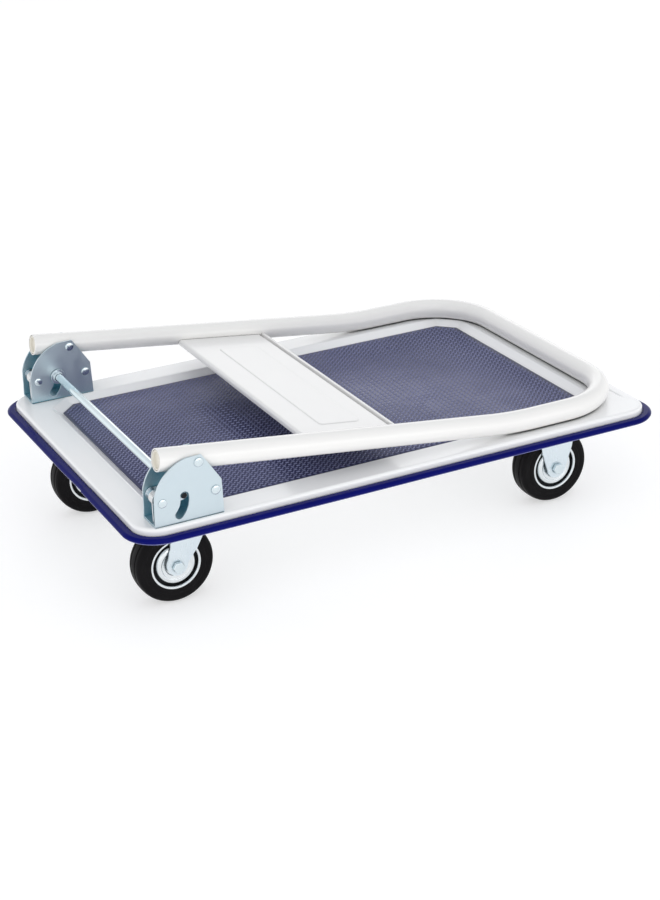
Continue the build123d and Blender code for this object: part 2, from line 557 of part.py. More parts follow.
# cross panel: pressed sheet with a rolled front edge and a folded lip, in the plane of the tubes
tilt = Plane(origin=(PIVOT_X, 0, PIVOT_Z), x_dir=(0, 1, 0), z_dir=(C, 0, -S))
PT, PD, PE = PANEL_T, PANEL_DROP, PANEL_EDGE
HALF = TUBE_Y - TUBE_R - 0.1
with BuildPart() as handle_panel:
    # section across the panel, drawn on the plane that holds the pivot line: u along the tube, v up
    with BuildSketch(Plane(origin=(PIVOT_X, -HALF, PIVOT_Z), x_dir=(C, 0, -S), z_dir=(0, 1, 0))):
        # v runs down in this frame, so heights are written with a minus sign
        with BuildLine():
            Polyline(*[(u, -v) for u, v in [
                (PANEL_A, -PD - PE), (PANEL_A, -PD - 3.8), (PANEL_A + 0.35, -PD - 2.2), (PANEL_A + 1.2, -PD - 0.95),
                (PANEL_A + 2.4, -PD - 0.25), (PANEL_A + 4.0, -PD),
                (PANEL_B - 9.2, -PD), (PANEL_B - 7.6, -PD - 1.0), (PANEL_B - 7.2, -PD - 5.0), (PANEL_B - 6.0, -PD - 5.0),
                (PANEL_B - 5.6, -PD + 0.6), (PANEL_B - 4.4, -PD + 1.4), (PANEL_B - 1.6, -PD + 1.4), (PANEL_B, -PD - 0.4),
                (PANEL_B, -PD - PE), (PANEL_B - PT, -PD - PE), (PANEL_B - PT, -PD - 1.0), (PANEL_B - 2.2, -PD + 0.2),
                (PANEL_B - 4.0, -PD + 0.2), (PANEL_B - 4.6, -PD - 6.2), (PANEL_B - 8.6, -PD - 6.2), (PANEL_B - 9.0, -PD - PT),
                (PANEL_A + 4.1, -PD - PT), (PANEL_A + 2.9, -PD - 1.4), (PANEL_A + 1.95, -PD - 2.0),
                (PANEL_A + 1.4, -PD - 2.9), (PANEL_A + PT, -PD - 4.0), (PANEL_A + PT, -PD - PE)]], close=True)
        make_face()
    extrude(amount=2 * HALF)
    with BuildSketch(Plane(origin=(PIVOT_X - PD * S, 0, PIVOT_Z - PD * C), x_dir=(C, 0, -S), z_dir=(S, 0, C))):
        with Locations((PANEL_A + 64, -1)):
            RectangleRounded(56, 296, 5)
    extrude(amount=0.9, taper=35)
save(handle_panel.part, "handle_panel")

# ---------------------------------------------------------------- foot bar and latch yokes
ARM_OUT = ARM_IN + ARM_T
with BuildPart() as foot_bar:
    with Locations(Location((BAR_X, 0, BAR_Z), (90, 0, 0))):
        Cylinder(BAR_R, 2 * (TUBE_Y - ARM_OUT))
        Cylinder(3.0, 2 * (TUBE_Y - ARM_IN))
save(foot_bar.part, "foot_bar")
with BuildPart() as bar_washers:
    for sg in (-1, 1):
        with Locations(Location((BAR_X, sg * (BR_IN - 1.5), BAR_Z), (90, 0, 0))):
            Cylinder(9.8, 1.6)
        with Locations(Location((BAR_X, sg * (BR_IN - 3.9), BAR_Z), (90, 0, 0))):
            Cylinder(6.6, 3.2)
            Cylinder(BAR_R + 0.05, 12, mode=Mode.SUBTRACT)
save(bar_washers.part, "bar_washers")


ux, uz = cos(radians(ARM_A)), sin(radians(ARM_A))
nx, nz = -uz, ux
r0, r1 = 7.4, 4.7
with BuildSketch() as arm_outline:
    with BuildLine():
        Line((SPR_X + r0 * nx, SPR_Z + r0 * nz), (BAR_X + r1 * nx, BAR_Z + r1 * nz))
        ThreePointArc((BAR_X + r1 * nx, BAR_Z + r1 * nz), (BAR_X + r1 * ux, BAR_Z + r1 * uz), (BAR_X - r1 * nx, BAR_Z - r1 * nz))
        Line((BAR_X - r1 * nx, BAR_Z - r1 * nz), (SPR_X - r0 * nx, SPR_Z - r0 * nz))
        ThreePointArc((SPR_X - r0 * nx, SPR_Z - r0 * nz), (SPR_X - r0 * ux, SPR_Z - r0 * uz), (SPR_X + r0 * nx, SPR_Z + r0 * nz))
    make_face()
    with Locations((SPR_X, SPR_Z)):
        Circle(PIN_R + 0.07, mode=Mode.SUBTRACT)

with BuildPart() as yoke:
    # inner arm, then the outer arm with its stub in the outer slot, joined by a sleeve round the spring pin
    with BuildSketch(Plane.XZ.offset(TUBE_Y - ARM_OUT)):
        add(arm_outline.sketch)
        with Locations((BAR_X, BAR_Z)):
            Circle(3.04, mode=Mode.SUBTRACT)
    extrude(amount=ARM_T)
    with BuildSketch(Plane.XZ.offset(TUBE_Y + ARM_IN)):
        add(arm_outline.sketch)
    extrude(amount=ARM_T)
    with BuildSketch(Plane.XZ.offset(TUBE_Y - ARM_IN)):
        with Locations((SPR_X, SPR_Z)):
            Circle(5.6)
            Circle(PIN_R + 0.07, mode=Mode.SUBTRACT)
    extrude(amount=2 * ARM_IN)
    with BuildSketch(Plane.XZ.offset(TUBE_Y + ARM_OUT)):
        with Locations((BAR_X, BAR_Z)):
            Circle(STUB_R)
    extrude(amount=HALF_GAP - ARM_OUT + BR_T - 1.2)
save(yoke.part, "latch_yoke_right")
save(mirror(yoke.part, about=Plane.XZ), "latch_yoke_left")
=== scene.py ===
import json
import math
import bpy
import bmesh
import numpy as np
from mathutils import Vector, Matrix


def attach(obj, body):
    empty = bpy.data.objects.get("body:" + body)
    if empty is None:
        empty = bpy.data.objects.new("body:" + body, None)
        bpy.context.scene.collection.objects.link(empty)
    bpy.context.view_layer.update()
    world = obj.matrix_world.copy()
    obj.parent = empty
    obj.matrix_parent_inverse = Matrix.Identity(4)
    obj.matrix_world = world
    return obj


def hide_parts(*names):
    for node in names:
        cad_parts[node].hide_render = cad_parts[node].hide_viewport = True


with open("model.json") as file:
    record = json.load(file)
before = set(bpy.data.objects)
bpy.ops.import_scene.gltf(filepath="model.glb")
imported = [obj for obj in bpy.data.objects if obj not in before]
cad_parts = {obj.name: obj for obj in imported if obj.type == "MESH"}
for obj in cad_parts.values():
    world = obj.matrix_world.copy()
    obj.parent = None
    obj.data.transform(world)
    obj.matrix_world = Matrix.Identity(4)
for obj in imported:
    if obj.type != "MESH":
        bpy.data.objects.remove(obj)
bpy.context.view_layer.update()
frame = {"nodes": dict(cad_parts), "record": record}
N = frame["nodes"]
MM = 0.001
sin, cos, pi, rad = math.sin, math.cos, math.pi, math.radians

# ------------------------------------------------------------------ dimensions, mm, the same as the frame's
SHEET, PAN_L, PAN_W, PAN_R, PAN_TOP, PAN_BASE, LIP_IN = 1.5, 700.0, 464.0, 33.0, 142.0, 123.5, 8.0
WELL_FLOOR, MAT_L, MAT_W, MAT_T, MAT_CUT, MAT_X, WELL_GAP, WELL_RUN = 134.0, 596.0, 362.0, 2.2, 21.3, -3.0, 1.0, 11.0
GROOVE_X, GROOVE_HALF = 335.0, 186.0
BUMP_OUT, BUMP_BOT, BUMP_TOP, BUMP_GAP_Y = 12.0, 125.0, 134.0, -68.0
TUBE_R, TUBE_WALL, TUBE_Y, PIVOT_X, PIVOT_Z, SLOPE = 13.6, 1.5, 210.4, -274.0, 211.3, 7.4
LOOP_X, LOOP_R, LOOP_Z, BEND_R, OVERHANG = 324.0, 90.0, 156.0, 500.0, 44.6
HALF_GAP, BR_T, PIN_R = 15.6, 2.2, 4.0
STOP_DX, STOP_DZ, STOP_R, SPR_DX, SPR_DZ = 18.9, -38.6, 4.8, -46.4, -40.3
PANEL_A, PANEL_B, PANEL_T, PANEL_DROP, PANEL_EDGE = 158.0, 286.0, 1.2, 3.0, 7.0
WHEEL_Y, WHEEL_SW_X, WHEEL_FX_X, AX_Z = 140.0, -281.0, 255.0, 50.0
S, C, T = sin(rad(SLOPE)), cos(rad(SLOPE)), math.tan(rad(SLOPE))


# ------------------------------------------------------------------ materials
def new_mat(name, rgb, rough, metallic=0.0, spec=0.5, coat=0.0, coat_rough=0.1, ior=1.5):
    m = bpy.data.materials.new(name)
    m.use_nodes = True
    nt = m.node_tree
    b = nt.nodes["Principled BSDF"]
    b.inputs["Base Color"].default_value = (*rgb, 1)
    b.inputs["Roughness"].default_value = rough
    b.inputs["Metallic"].default_value = metallic
    b.inputs["Specular IOR Level"].default_value = spec
    b.inputs["Coat Weight"].default_value = coat
    b.inputs["Coat Roughness"].default_value = coat_rough
    b.inputs["IOR"].default_value = ior
    return m, nt, b


class G:
    """small helper to write node graphs"""

    def __init__(self, nt):
        self.nt = nt
        self.tc = nt.nodes.new("ShaderNodeTexCoord")

    def n(self, kind, **kw):
        node = self.nt.nodes.new(kind)
        for k, v in kw.items():
            setattr(node, k, v)
        return node

    def link(self, a, b):
        self.nt.links.new(a, b)

    def coords(self, scale=(1, 1, 1), rot=(0, 0, 0), loc=(0, 0, 0)):
        mp = self.n("ShaderNodeMapping")
        mp.inputs["Scale"].default_value = scale
        mp.inputs["Rotation"].default_value = rot
        mp.inputs["Location"].default_value = loc
        self.link(self.tc.outputs["Object"], mp.inputs["Vector"])
        return mp.outputs["Vector"]

    def noise(self, scale, detail=3.0, rough=0.5, vec=None, distortion=0.0):
        t = self.n("ShaderNodeTexNoise")
        t.inputs["Scale"].default_value = scale
        t.inputs["Detail"].default_value = detail
        t.inputs["Roughness"].default_value = rough
        t.inputs["Distortion"].default_value = distortion
        self.link(vec if vec is not None else self.tc.outputs["Object"], t.inputs["Vector"])
        return t.outputs["Fac"]

    def voronoi(self, scale, vec=None, feature="F1"):
        t = self.n("ShaderNodeTexVoronoi")
        t.feature = feature
        t.inputs["Scale"].default_value = scale
        self.link(vec if vec is not None else self.tc.outputs["Object"], t.inputs["Vector"])
        return t

    def ramp(self, fac, stops):
        r = self.n("ShaderNodeValToRGB")
        e = r.color_ramp.elements
        while len(e) < len(stops):
            e.new(0.5)
        for el, (p, c) in zip(e, stops):
            el.position = p
            el.color = (*c, 1) if len(c) == 3 else c
        self.link(fac, r.inputs["Fac"])
        return r.outputs["Color"]

    def range(self, fac, a, b, lo, hi):
        r = self.n("ShaderNodeMapRange")
        for k, v in (("From Min", a), ("From Max", b), ("To Min", lo), ("To Max", hi)):
            r.inputs[k].default_value = v
        self.link(fac, r.inputs["Value"])
        return r.outputs["Result"]

    def math(self, op, a, b=None):
        m = self.n("ShaderNodeMath", operation=op)
        for i, v in enumerate((a, b)):
            if v is None:
                continue
            if isinstance(v, (int, float)):
                m.inputs[i].default_value = v
            else:
                self.link(v, m.inputs[i])
        return m.outputs[0]

    def mix(self, fac, a, b, blend="MIX"):
        m = self.n("ShaderNodeMix", data_type="RGBA", blend_type=blend)
        for sock, v in (("Factor", fac), ("A", a), ("B", b)):
            s = [i for i in m.inputs if i.name == sock and (i.type == ("VALUE" if sock == "Factor" else "RGBA"))][0]
            if isinstance(v, (int, float)):
                s.default_value = v
            elif isinstance(v, tuple):
                s.default_value = (*v, 1)
            else:
                self.link(v, s)
        return [o for o in m.outputs if o.type == "RGBA"][0]

    def bump(self, height, strength, distance, normal=None):
        b = self.n("ShaderNodeBump")
        b.inputs["Strength"].default_value = strength
        b.inputs["Distance"].default_value = distance
        self.link(height, b.inputs["Height"])
        if normal is not None:
            self.link(normal, b.inputs["Normal"])
        return b.outputs["Normal"]

    def edge(self, radius, lo=0.02, hi=0.35):
        """how much the surface turns within radius: 1 on worn edges"""
        bv = self.n("ShaderNodeBevel", samples=4)
        bv.inputs["Radius"].default_value = radius
        ge = self.n("ShaderNodeNewGeometry")
        dt = self.n("ShaderNodeVectorMath", operation="DOT_PRODUCT")
        self.link(bv.outputs["Normal"], dt.inputs[0])
        self.link(ge.outputs["Normal"], dt.inputs[1])
        return self.range(self.math("SUBTRACT", 1.0, dt.outputs["Value"]), lo, hi, 0.0, 1.0)

    def crevice(self, dist):
        ao = self.n("ShaderNodeAmbientOcclusion", samples=6)
        ao.inputs["Distance"].default_value = dist
        return self.math("SUBTRACT", 1.0, ao.outputs["AO"])


def paint(name, light, shade, rough=0.30, peel=0.10, worn=(0.46, 0.46, 0.45), dirt_and_shade=(0.52, 0.51, 0.48)):
    """powder coat: orange peel, faint cloudiness, dust and painted shade in the corners, painted shade in tight gaps, a
    little wear on the edges
    """
    m, nt, b = new_mat(name, light, rough, spec=0.5, coat=0.35, coat_rough=0.12)
    g = G(nt)
    cloud = g.noise(9.0, 4.0, 0.6)
    col = g.ramp(cloud, [(0.30, shade), (0.70, light)])
    spot = g.range(g.noise(160.0, 4.0, 0.7), 0.68, 0.82, 0.0, 0.07)
    col = g.mix(spot, col, dirt_and_shade)
    # dust and painted shade: an ambient-occlusion mask, flecked by noise, darkens corners and crevices towards the dirt
    # colour
    dust = g.math("MULTIPLY", g.range(g.crevice(0.012), 0.30, 1.0, 0.0, 0.26), g.range(g.noise(45.0, 4.0), 0.3, 0.7, 0.5, 1.0))
    col = g.mix(dust, col, dirt_and_shade)
    chips = g.math("MULTIPLY", g.edge(0.0009, 0.04, 0.4), g.range(g.noise(120.0, 5.0, 0.7), 0.58, 0.68, 0.0, 0.30))
    col = g.mix(chips, col, worn)
    # painted shade: near-black in tight gaps and along contact lines, from a short ambient-occlusion mask
    gap_shade = g.range(g.crevice(0.0035), 0.52, 0.82, 0.0, 0.85)
    col = g.mix(gap_shade, col, (0.035, 0.037, 0.042))
    g.link(col, b.inputs["Base Color"])
    r = g.range(g.noise(30.0, 4.0, 0.6), 0.3, 0.7, rough - 0.015, rough + 0.02)
    g.link(r, b.inputs["Roughness"])
    n1 = g.bump(g.noise(520.0, 2.0, 0.5), peel, 0.0004)
    n2 = g.bump(g.noise(22.0, 2.0, 0.5), 0.035, 0.0010, n1)
    g.link(n2, b.inputs["Normal"])
    return m


def zinc(name, light, shade, rough=0.26, streak=(1, 1, 1), grain=0.25, tint=(0.50, 0.66, 0.74), deep_shade_in=0.0, crevice_shade_in=0.55):
    """bright blue-passivated zinc plate: cloudy tint, fine rolling lines, scuffs on the edges, painted shade in the
    crevices and deep inside hollows
    """
    m, nt, b = new_mat(name, light, rough, metallic=1.0)
    g = G(nt)
    cloud = g.noise(22.0, 5.0, 0.62, distortion=0.6)
    col = g.ramp(cloud, [(0.28, shade), (0.72, light)])
    col = g.mix(g.range(g.noise(8.0, 3.0), 0.42, 0.70, 0.0, 0.22), col, tint)
    lines = g.noise(1.0, 4.0, 0.6, vec=g.coords((streak[0], streak[1], streak[2])))
    scuff = g.math("MULTIPLY", g.edge(0.0007, 0.03, 0.35), g.range(g.noise(260.0, 4.0, 0.7), 0.35, 0.65, 0.15, 0.85))
    col = g.mix(scuff, col, (0.86, 0.88, 0.88))
    # painted shade: dark teal-grey in the crevices, from a short ambient-occlusion mask
    crevice_shade = g.range(g.crevice(0.0045), 0.28, 0.58, 0.0, crevice_shade_in)
    col = g.mix(crevice_shade, col, (0.09, 0.15, 0.18))
    # painted shade: teal and less metallic deep inside hollows such as the inside of a bracket, from a wide
    # ambient-occlusion mask
    deep_shade = g.range(g.crevice(0.048), 0.44, 0.68, 0.0, deep_shade_in)
    col = g.mix(deep_shade, col, (0.11, 0.36, 0.47))
    g.link(g.math("SUBTRACT", 1.0, g.math("MULTIPLY", deep_shade, 0.6)), b.inputs["Metallic"])
    g.link(col, b.inputs["Base Color"])
    r = g.math("ADD", g.range(lines, 0.3, 0.7, rough - 0.03, rough + 0.04), g.range(g.noise(70.0, 4.0, 0.6), 0.3, 0.7, -0.03, 0.05))
    g.link(r, b.inputs["Roughness"])
    n1 = g.bump(lines, grain, 0.00006)
    n2 = g.bump(g.noise(300.0, 3.0, 0.6), 0.06, 0.00010, n1)
    g.link(n2, b.inputs["Normal"])
    return m


deck_white = paint("deck_powder_coat", (0.885, 0.89, 0.895), (0.873, 0.878, 0.885), 0.22)
handle_white = paint("handle_powder_coat", (0.855, 0.848, 0.832), (0.842, 0.834, 0.815), 0.25, peel=0.05, dirt_and_shade=(0.56, 0.53, 0.47))
# the handle's white made darker for the up-facing panel: painted shade, so the top light doesn't lift it above the tube
panel_white_shaded = paint("panel_powder_coat", (0.80, 0.797, 0.79), (0.787, 0.783, 0.775), 0.30, peel=0.06, dirt_and_shade=(0.56, 0.54, 0.50))
channel_white = paint("channel_powder_coat", (0.66, 0.67, 0.68), (0.60, 0.61, 0.62), 0.38, peel=0.14)
zinc_plate = zinc("zinc_plate", (0.625, 0.715, 0.76), (0.595, 0.685, 0.73), 0.36, (60, 60, 18), grain=0.015, tint=(0.56, 0.67, 0.73), deep_shade_in=0.95, crevice_shade_in=0.9)
zinc_fork = zinc("zinc_fork", (0.72, 0.79, 0.83), (0.67, 0.75, 0.80), 0.26, (160, 160, 26), grain=0.03, tint=(0.60, 0.71, 0.78), crevice_shade_in=0.9)
zinc_bolt = zinc("zinc_fastener", (0.74, 0.82, 0.85), (0.64, 0.72, 0.76), 0.16, (200, 500, 200), grain=0.05, tint=(0.58, 0.70, 0.75))
zinc_rim = zinc("zinc_rim", (0.80, 0.83, 0.84), (0.72, 0.76, 0.78), 0.22, (60, 900, 60), grain=0.08, tint=(0.68, 0.75, 0.78))
bar_zinc = zinc("zinc_bar", (0.74, 0.82, 0.85), (0.66, 0.76, 0.80), 0.08, (300, 10, 300), grain=0.03, tint=(0.52, 0.70, 0.76))
hub_steel = zinc("hub_steel", (0.60, 0.61, 0.62), (0.46, 0.47, 0.48), 0.34, (120, 900, 120), tint=(0.50, 0.50, 0.50))
spring_wire = zinc("spring_wire", (0.82, 0.83, 0.83), (0.68, 0.69, 0.70), 0.20, (300, 300, 300), tint=(0.7, 0.72, 0.74))


def make_rubber():
    m, nt, b = new_mat("tyre_rubber", (0.008, 0.008, 0.0085), 0.5, spec=0.06)
    g = G(nt)
    col = g.ramp(g.noise(14.0, 5.0, 0.65), [(0.3, (0.0050, 0.0047, 0.0052)), (0.7, (0.0088, 0.0083, 0.0092))])
    dust = g.math("MULTIPLY", g.edge(0.0012, 0.03, 0.4), g.range(g.noise(150.0, 5.0, 0.7), 0.40, 0.70, 0.0, 0.7))
    col = g.mix(dust, col, (0.040, 0.039, 0.037))
    col = g.mix(g.range(g.noise(420.0, 3.0, 0.7), 0.62, 0.78, 0.0, 0.30), col, (0.022, 0.021, 0.021))
    g.link(col, b.inputs["Base Color"])
    g.link(g.range(g.noise(40.0, 4.0, 0.6), 0.3, 0.7, 0.36, 0.56), b.inputs["Roughness"])
    n1 = g.bump(g.noise(900.0, 3.0, 0.6), 0.30, 0.00015)
    n2 = g.bump(g.noise(60.0, 3.0, 0.5), 0.10, 0.0005, n1)
    g.link(n2, b.inputs["Normal"])
    return m


def make_vinyl(name, spec, lo, hi):
    m, nt, b = new_mat(name, (0.001, 0.003, 0.15), 0.2, spec=spec)
    g = G(nt)
    col = g.ramp(g.noise(12.0, 4.0, 0.6), [(0.3, lo), (0.7, hi)])
    scuff = g.math("MULTIPLY", g.edge(0.0016, 0.05, 0.5), g.range(g.noise(90.0, 5.0, 0.75), 0.50, 0.72, 0.0, 0.30))
    col = g.mix(scuff, col, (0.03, 0.04, 0.22))
    # painted shade: darker navy in the crevices, from an ambient-occlusion mask
    col = g.mix(g.range(g.crevice(0.006), 0.35, 1.0, 0.0, 0.6), col, (0.002, 0.002, 0.022))
    g.link(col, b.inputs["Base Color"])
    g.link(g.range(g.noise(36.0, 4.0, 0.6), 0.3, 0.7, 0.15, 0.26), b.inputs["Roughness"])
    n1 = g.bump(g.noise(18.0, 3.0, 0.5), 0.22, 0.0012)
    n2 = g.bump(g.noise(380.0, 3.0, 0.6), 0.10, 0.00025, n1)
    g.link(n2, b.inputs["Normal"])
    return m


def make_mat_vinyl(name, base_lo, base_hi, spec):
    m, nt, b = new_mat(name, base_hi, 0.34, spec=spec, ior=1.62)
    b.inputs["Specular Tint"].default_value = (0.62, 0.66, 1.0, 1)
    g = G(nt)
    col = g.ramp(g.noise(7.0, 5.0, 0.6), [(0.3, base_lo), (0.7, base_hi)])
    col = g.mix(g.range(g.noise(600.0, 3.0, 0.7), 0.60, 0.78, 0.0, 0.30), col, (0.10, 0.105, 0.15))
    rub = g.math("MULTIPLY", g.edge(0.0005, 0.02, 0.3), g.range(g.noise(30.0, 4.0, 0.7), 0.35, 0.70, 0.05, 0.40))
    col = g.mix(rub, col, (0.22, 0.23, 0.40))
    g.link(col, b.inputs["Base Color"])
    g.link(g.range(g.noise(24.0, 4.0, 0.6), 0.3, 0.7, 0.27, 0.42), b.inputs["Roughness"])
    g.link(g.bump(g.noise(1400.0, 2.0, 0.6), 0.25, 0.0001), b.inputs["Normal"])
    return m


def plastic(name, light, shade, rough):
    m, nt, b = new_mat(name, light, rough, spec=0.45)
    g = G(nt)
    col = g.ramp(g.noise(60.0, 4.0, 0.6), [(0.3, shade), (0.7, light)])
    # painted shade: brown-grey in the crevices, from an ambient-occlusion mask
    col = g.mix(g.range(g.crevice(0.004), 0.3, 1.0, 0.0, 0.5), col, (0.35, 0.32, 0.27))
    g.link(col, b.inputs["Base Color"])
    g.link(g.range(g.noise(90.0, 4.0, 0.6), 0.3, 0.7, rough - 0.06, rough + 0.08), b.inputs["Roughness"])
    g.link(g.bump(g.noise(700.0, 3.0, 0.6), 0.12, 0.0002), b.inputs["Normal"])
    return m


# near-black material that paints shade into grooves and recessed faces
def make_shade_black():
    m, nt, b = new_mat("painted_shade_black", (0.012, 0.013, 0.015), 0.6, spec=0.15)
    g = G(nt)
    g.link(g.ramp(g.noise(140.0, 4.0, 0.6), [(0.3, (0.008, 0.009, 0.010)), (0.7, (0.020, 0.021, 0.024))]), b.inputs["Base Color"])
    g.link(g.range(g.noise(90.0, 3.0), 0.3, 0.7, 0.5, 0.7), b.inputs["Roughness"])
    return m


rubber = make_rubber()
shade_black = make_shade_black()
vinyl = make_vinyl("bumper_vinyl", 0.07, (0.0009, 0.0026, 0.104), (0.0015, 0.0036, 0.132))
# lighter blue for the downward-facing lip: painted reflection of the floor
vinyl_lip_reflection = make_vinyl("bumper_lip_painted_reflection", 0.5, (0.10, 0.11, 0.33), (0.14, 0.15, 0.40))
mat_vinyl = make_mat_vinyl("deck_mat_vinyl", (0.020, 0.021, 0.060), (0.028, 0.029, 0.084), 0.6)
mat_raised_highlight = make_mat_vinyl("deck_mat_raised_highlight", (0.150, 0.160, 0.285), (0.215, 0.228, 0.380), 1.0)
plug_ivory = plastic("plug_plastic", (0.80, 0.77, 0.69), (0.74, 0.71, 0.63), 0.38)
bush_nylon = plastic("bush_nylon", (0.74, 0.73, 0.68), (0.68, 0.67, 0.62), 0.42)


# ------------------------------------------------------------------ mesh helpers
def add_object(name, me, body, mat, reps=()):
    ob = bpy.data.objects.new(name, me)
    bpy.context.scene.collection.objects.link(ob)
    me.materials.clear()
    me.materials.append(mat)
    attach(ob, body)
    if reps:
        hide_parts(*reps)
    return ob


def build(name, verts, faces, body, mat, reps=(), slot=None, sharp=40, weighted=True, fix_normals=True, bevel=None):
    me = bpy.data.meshes.new(name)
    me.from_pydata([(x * MM, y * MM, z * MM) for x, y, z in verts], [], [tuple(f) for f in faces])
    me.validate(clean_customdata=False)
    bm = bmesh.new()
    bm.from_mesh(me)
    bmesh.ops.remove_doubles(bm, verts=bm.verts, dist=1e-7)
    if fix_normals:
        bmesh.ops.recalc_face_normals(bm, faces=bm.faces)
    bm.to_mesh(me)
    bm.free()
    me.shade_smooth()
    me.set_sharp_from_angle(angle=rad(sharp))
    ob = add_object(name, me, body, mat, reps)
    if bevel:
        add_bevel(ob, bevel)
    if weighted:
        w = ob.modifiers.new("weighted", "WEIGHTED_NORMAL")
        w.keep_sharp = True
        w.weight = 50
    return ob


def add_bevel(ob, width, segments=2, angle=30):
    bv = ob.modifiers.new("bevel", "BEVEL")
    bv.width = width * MM
    bv.segments = segments
    bv.limit_method = "ANGLE"
    bv.angle_limit = rad(angle)
    bv.use_clamp_overlap = True
    bv.harden_normals = False
    return bv


def refine(node, mat, body, bevel=0.35, angle=32, segments=2, name=None, keep=None, edit=None):
    """a CAD node's own mesh, cleaned, with its edges broken; it stands for the node"""
    src = N[node]
    me = src.data.copy()
    me.name = (name or node) + "_fine"
    if "custom_normal" in me.attributes:
        me.attributes.remove(me.attributes["custom_normal"])
    bm = bmesh.new()
    bm.from_mesh(me)
    bmesh.ops.remove_doubles(bm, verts=bm.verts, dist=2e-6)
    bmesh.ops.dissolve_degenerate(bm, edges=bm.edges, dist=2e-6)
    bmesh.ops.dissolve_limit(bm, angle_limit=rad(0.6), verts=bm.verts, edges=bm.edges, use_dissolve_boundaries=False)
    if edit:
        edit(bm)
    for e in bm.edges:
        e.smooth = True
    for f in bm.faces:
        f.smooth = True
    bm.to_mesh(me)
    bm.free()
    me.set_sharp_from_angle(angle=rad(45))
    ob = add_object((name or node) + "_fine", me, body, mat, (node,))
    if bevel:
        add_bevel(ob, bevel, segments, angle)
        # after the bevel nothing visible stays sharp
        me.set_sharp_from_angle(angle=rad(75))
    w = ob.modifiers.new("weighted", "WEIGHTED_NORMAL")
    w.keep_sharp = True
    w.weight = 60
    return ob


def loft(rings, closed=False, cap_start=False, cap_end=False, base=0):
    """faces between rings of the same length, each ring a closed loop"""
    n = len(rings[0])
    verts = [p for r in rings for p in r]
    faces = []
    m = len(rings)
    for i in range(m if closed else m - 1):
        a, b = base + i * n, base + ((i + 1) % m) * n
        for j in range(n):
            k = (j + 1) % n
            faces.append((a + j, a + k, b + k, b + j))
    if cap_start:
        faces.append(tuple(base + j for j in range(n))[::-1])
    if cap_end:
        faces.append(tuple(base + (m - 1) * n + j for j in range(n)))
    return verts, faces


def join(parts):
    verts, faces = [], []
    for v, f in parts:
        o = len(verts)
        verts += list(v)
        faces += [tuple(i + o for i in t) for t in f]
    return verts, faces


def revolve_y(profile, cx, cy, cz, n=96, closed=True):
    """profile of (along y, radius) turned round the axis along y through the centre"""
    rings = []
    for a, r in profile:
        rings.append([(cx + r * cos(2 * pi * j / n), cy + a, cz + r * sin(2 * pi * j / n)) for j in range(n)])
    return loft(rings, closed=closed)


def revolve_z(profile, cx, cy, n=64, closed=True):
    rings = []
    for z, r in profile:
        rings.append([(cx + r * cos(2 * pi * j / n), cy + r * sin(2 * pi * j / n), z) for j in range(n)])
    return loft(rings, closed=closed)


def rounded(points, radii, seg=5, closed=True):
    """a polyline with its corners rounded"""
    out = []
    n = len(points)
    if not hasattr(radii, "__len__"):
        radii = [radii] * n
    for i, p in enumerate(points):
        p = np.array(p, float)
        r = radii[i]
        if r <= 0 or (not closed and i in (0, n - 1)):
            out.append(tuple(p))
            continue
        a, b = np.array(points[i - 1], float), np.array(points[(i + 1) % n], float)
        u, v = a - p, b - p
        lu, lv = np.linalg.norm(u), np.linalg.norm(v)
        u, v = u / lu, v / lv
        ang = math.acos(max(-1, min(1, float(u @ v))))
        if ang > pi - 0.02:
            out.append(tuple(p))
            continue
        t = min(r / math.tan(ang / 2), 0.48 * lu, 0.48 * lv)
        r = t * math.tan(ang / 2)
        s, e = p + u * t, p + v * t
        bis = (u + v) / np.linalg.norm(u + v)
        c = p + bis * (r / sin(ang / 2))
        a0 = math.atan2(s[1] - c[1], s[0] - c[0])
        a1 = math.atan2(e[1] - c[1], e[0] - c[0])
        d = (a1 - a0 + pi) % (2 * pi) - pi
        for k in range(seg + 1):
            t_ = a0 + d * k / seg
            out.append((c[0] + r * cos(t_), c[1] + r * sin(t_)))
    return out


# ------------------------------------------------------------------ deck pan: one pressed sheet
N_LONG, N_SHORT, N_ARC = 40, 88, 14


def ease(k, n):
    return k / n


def rect_ring(d, z):
    """loop at an offset d inside the pan's outline, counter-clockwise from the (+x,-y) arc's start"""
    r = PAN_R - d
    hx, hy = PAN_L / 2 - PAN_R, PAN_W / 2 - PAN_R
    out = []
    corners = [(hx, -hy, -90), (hx, hy, 0), (-hx, hy, 90), (-hx, -hy, 180)]
    counts = [N_SHORT, N_LONG, N_SHORT, N_LONG]
    for (cx, cy, a0), cnt, nxt in zip(corners, counts, corners[1:] + corners[:1]):
        for k in range(N_ARC + 1):
            a = rad(a0 + 90 * k / N_ARC)
            out.append((cx + r * cos(a), cy + r * sin(a), z))
        p = out[-1]
        a = rad(nxt[2])
        q = (nxt[0] + r * cos(a), nxt[1] + r * sin(a), z)
        for k in range(1, cnt):
            t = k / cnt
            out.append((p[0] + (q[0] - p[0]) * t, p[1] + (q[1] - p[1]) * t, z))
    return out


def oct_ring(hl, hw, cut, z):
    pts = [(MAT_X + hl - cut, -hw), (MAT_X + hl, -hw + cut), (MAT_X + hl, hw - cut), (MAT_X + hl - cut, hw),
           (MAT_X - hl + cut, hw), (MAT_X - hl, hw - cut), (MAT_X - hl, -hw + cut), (MAT_X - hl + cut, -hw)]
    counts = [N_ARC, N_SHORT, N_ARC, N_LONG, N_ARC, N_SHORT, N_ARC, N_LONG]
    out = []
    for i, cnt in enumerate(counts):
        p, q = pts[i], pts[(i + 1) % 8]
        for k in range(cnt):
            t = k / cnt
            out.append((p[0] + (q[0] - p[0]) * t, p[1] + (q[1] - p[1]) * t, z))
    return out


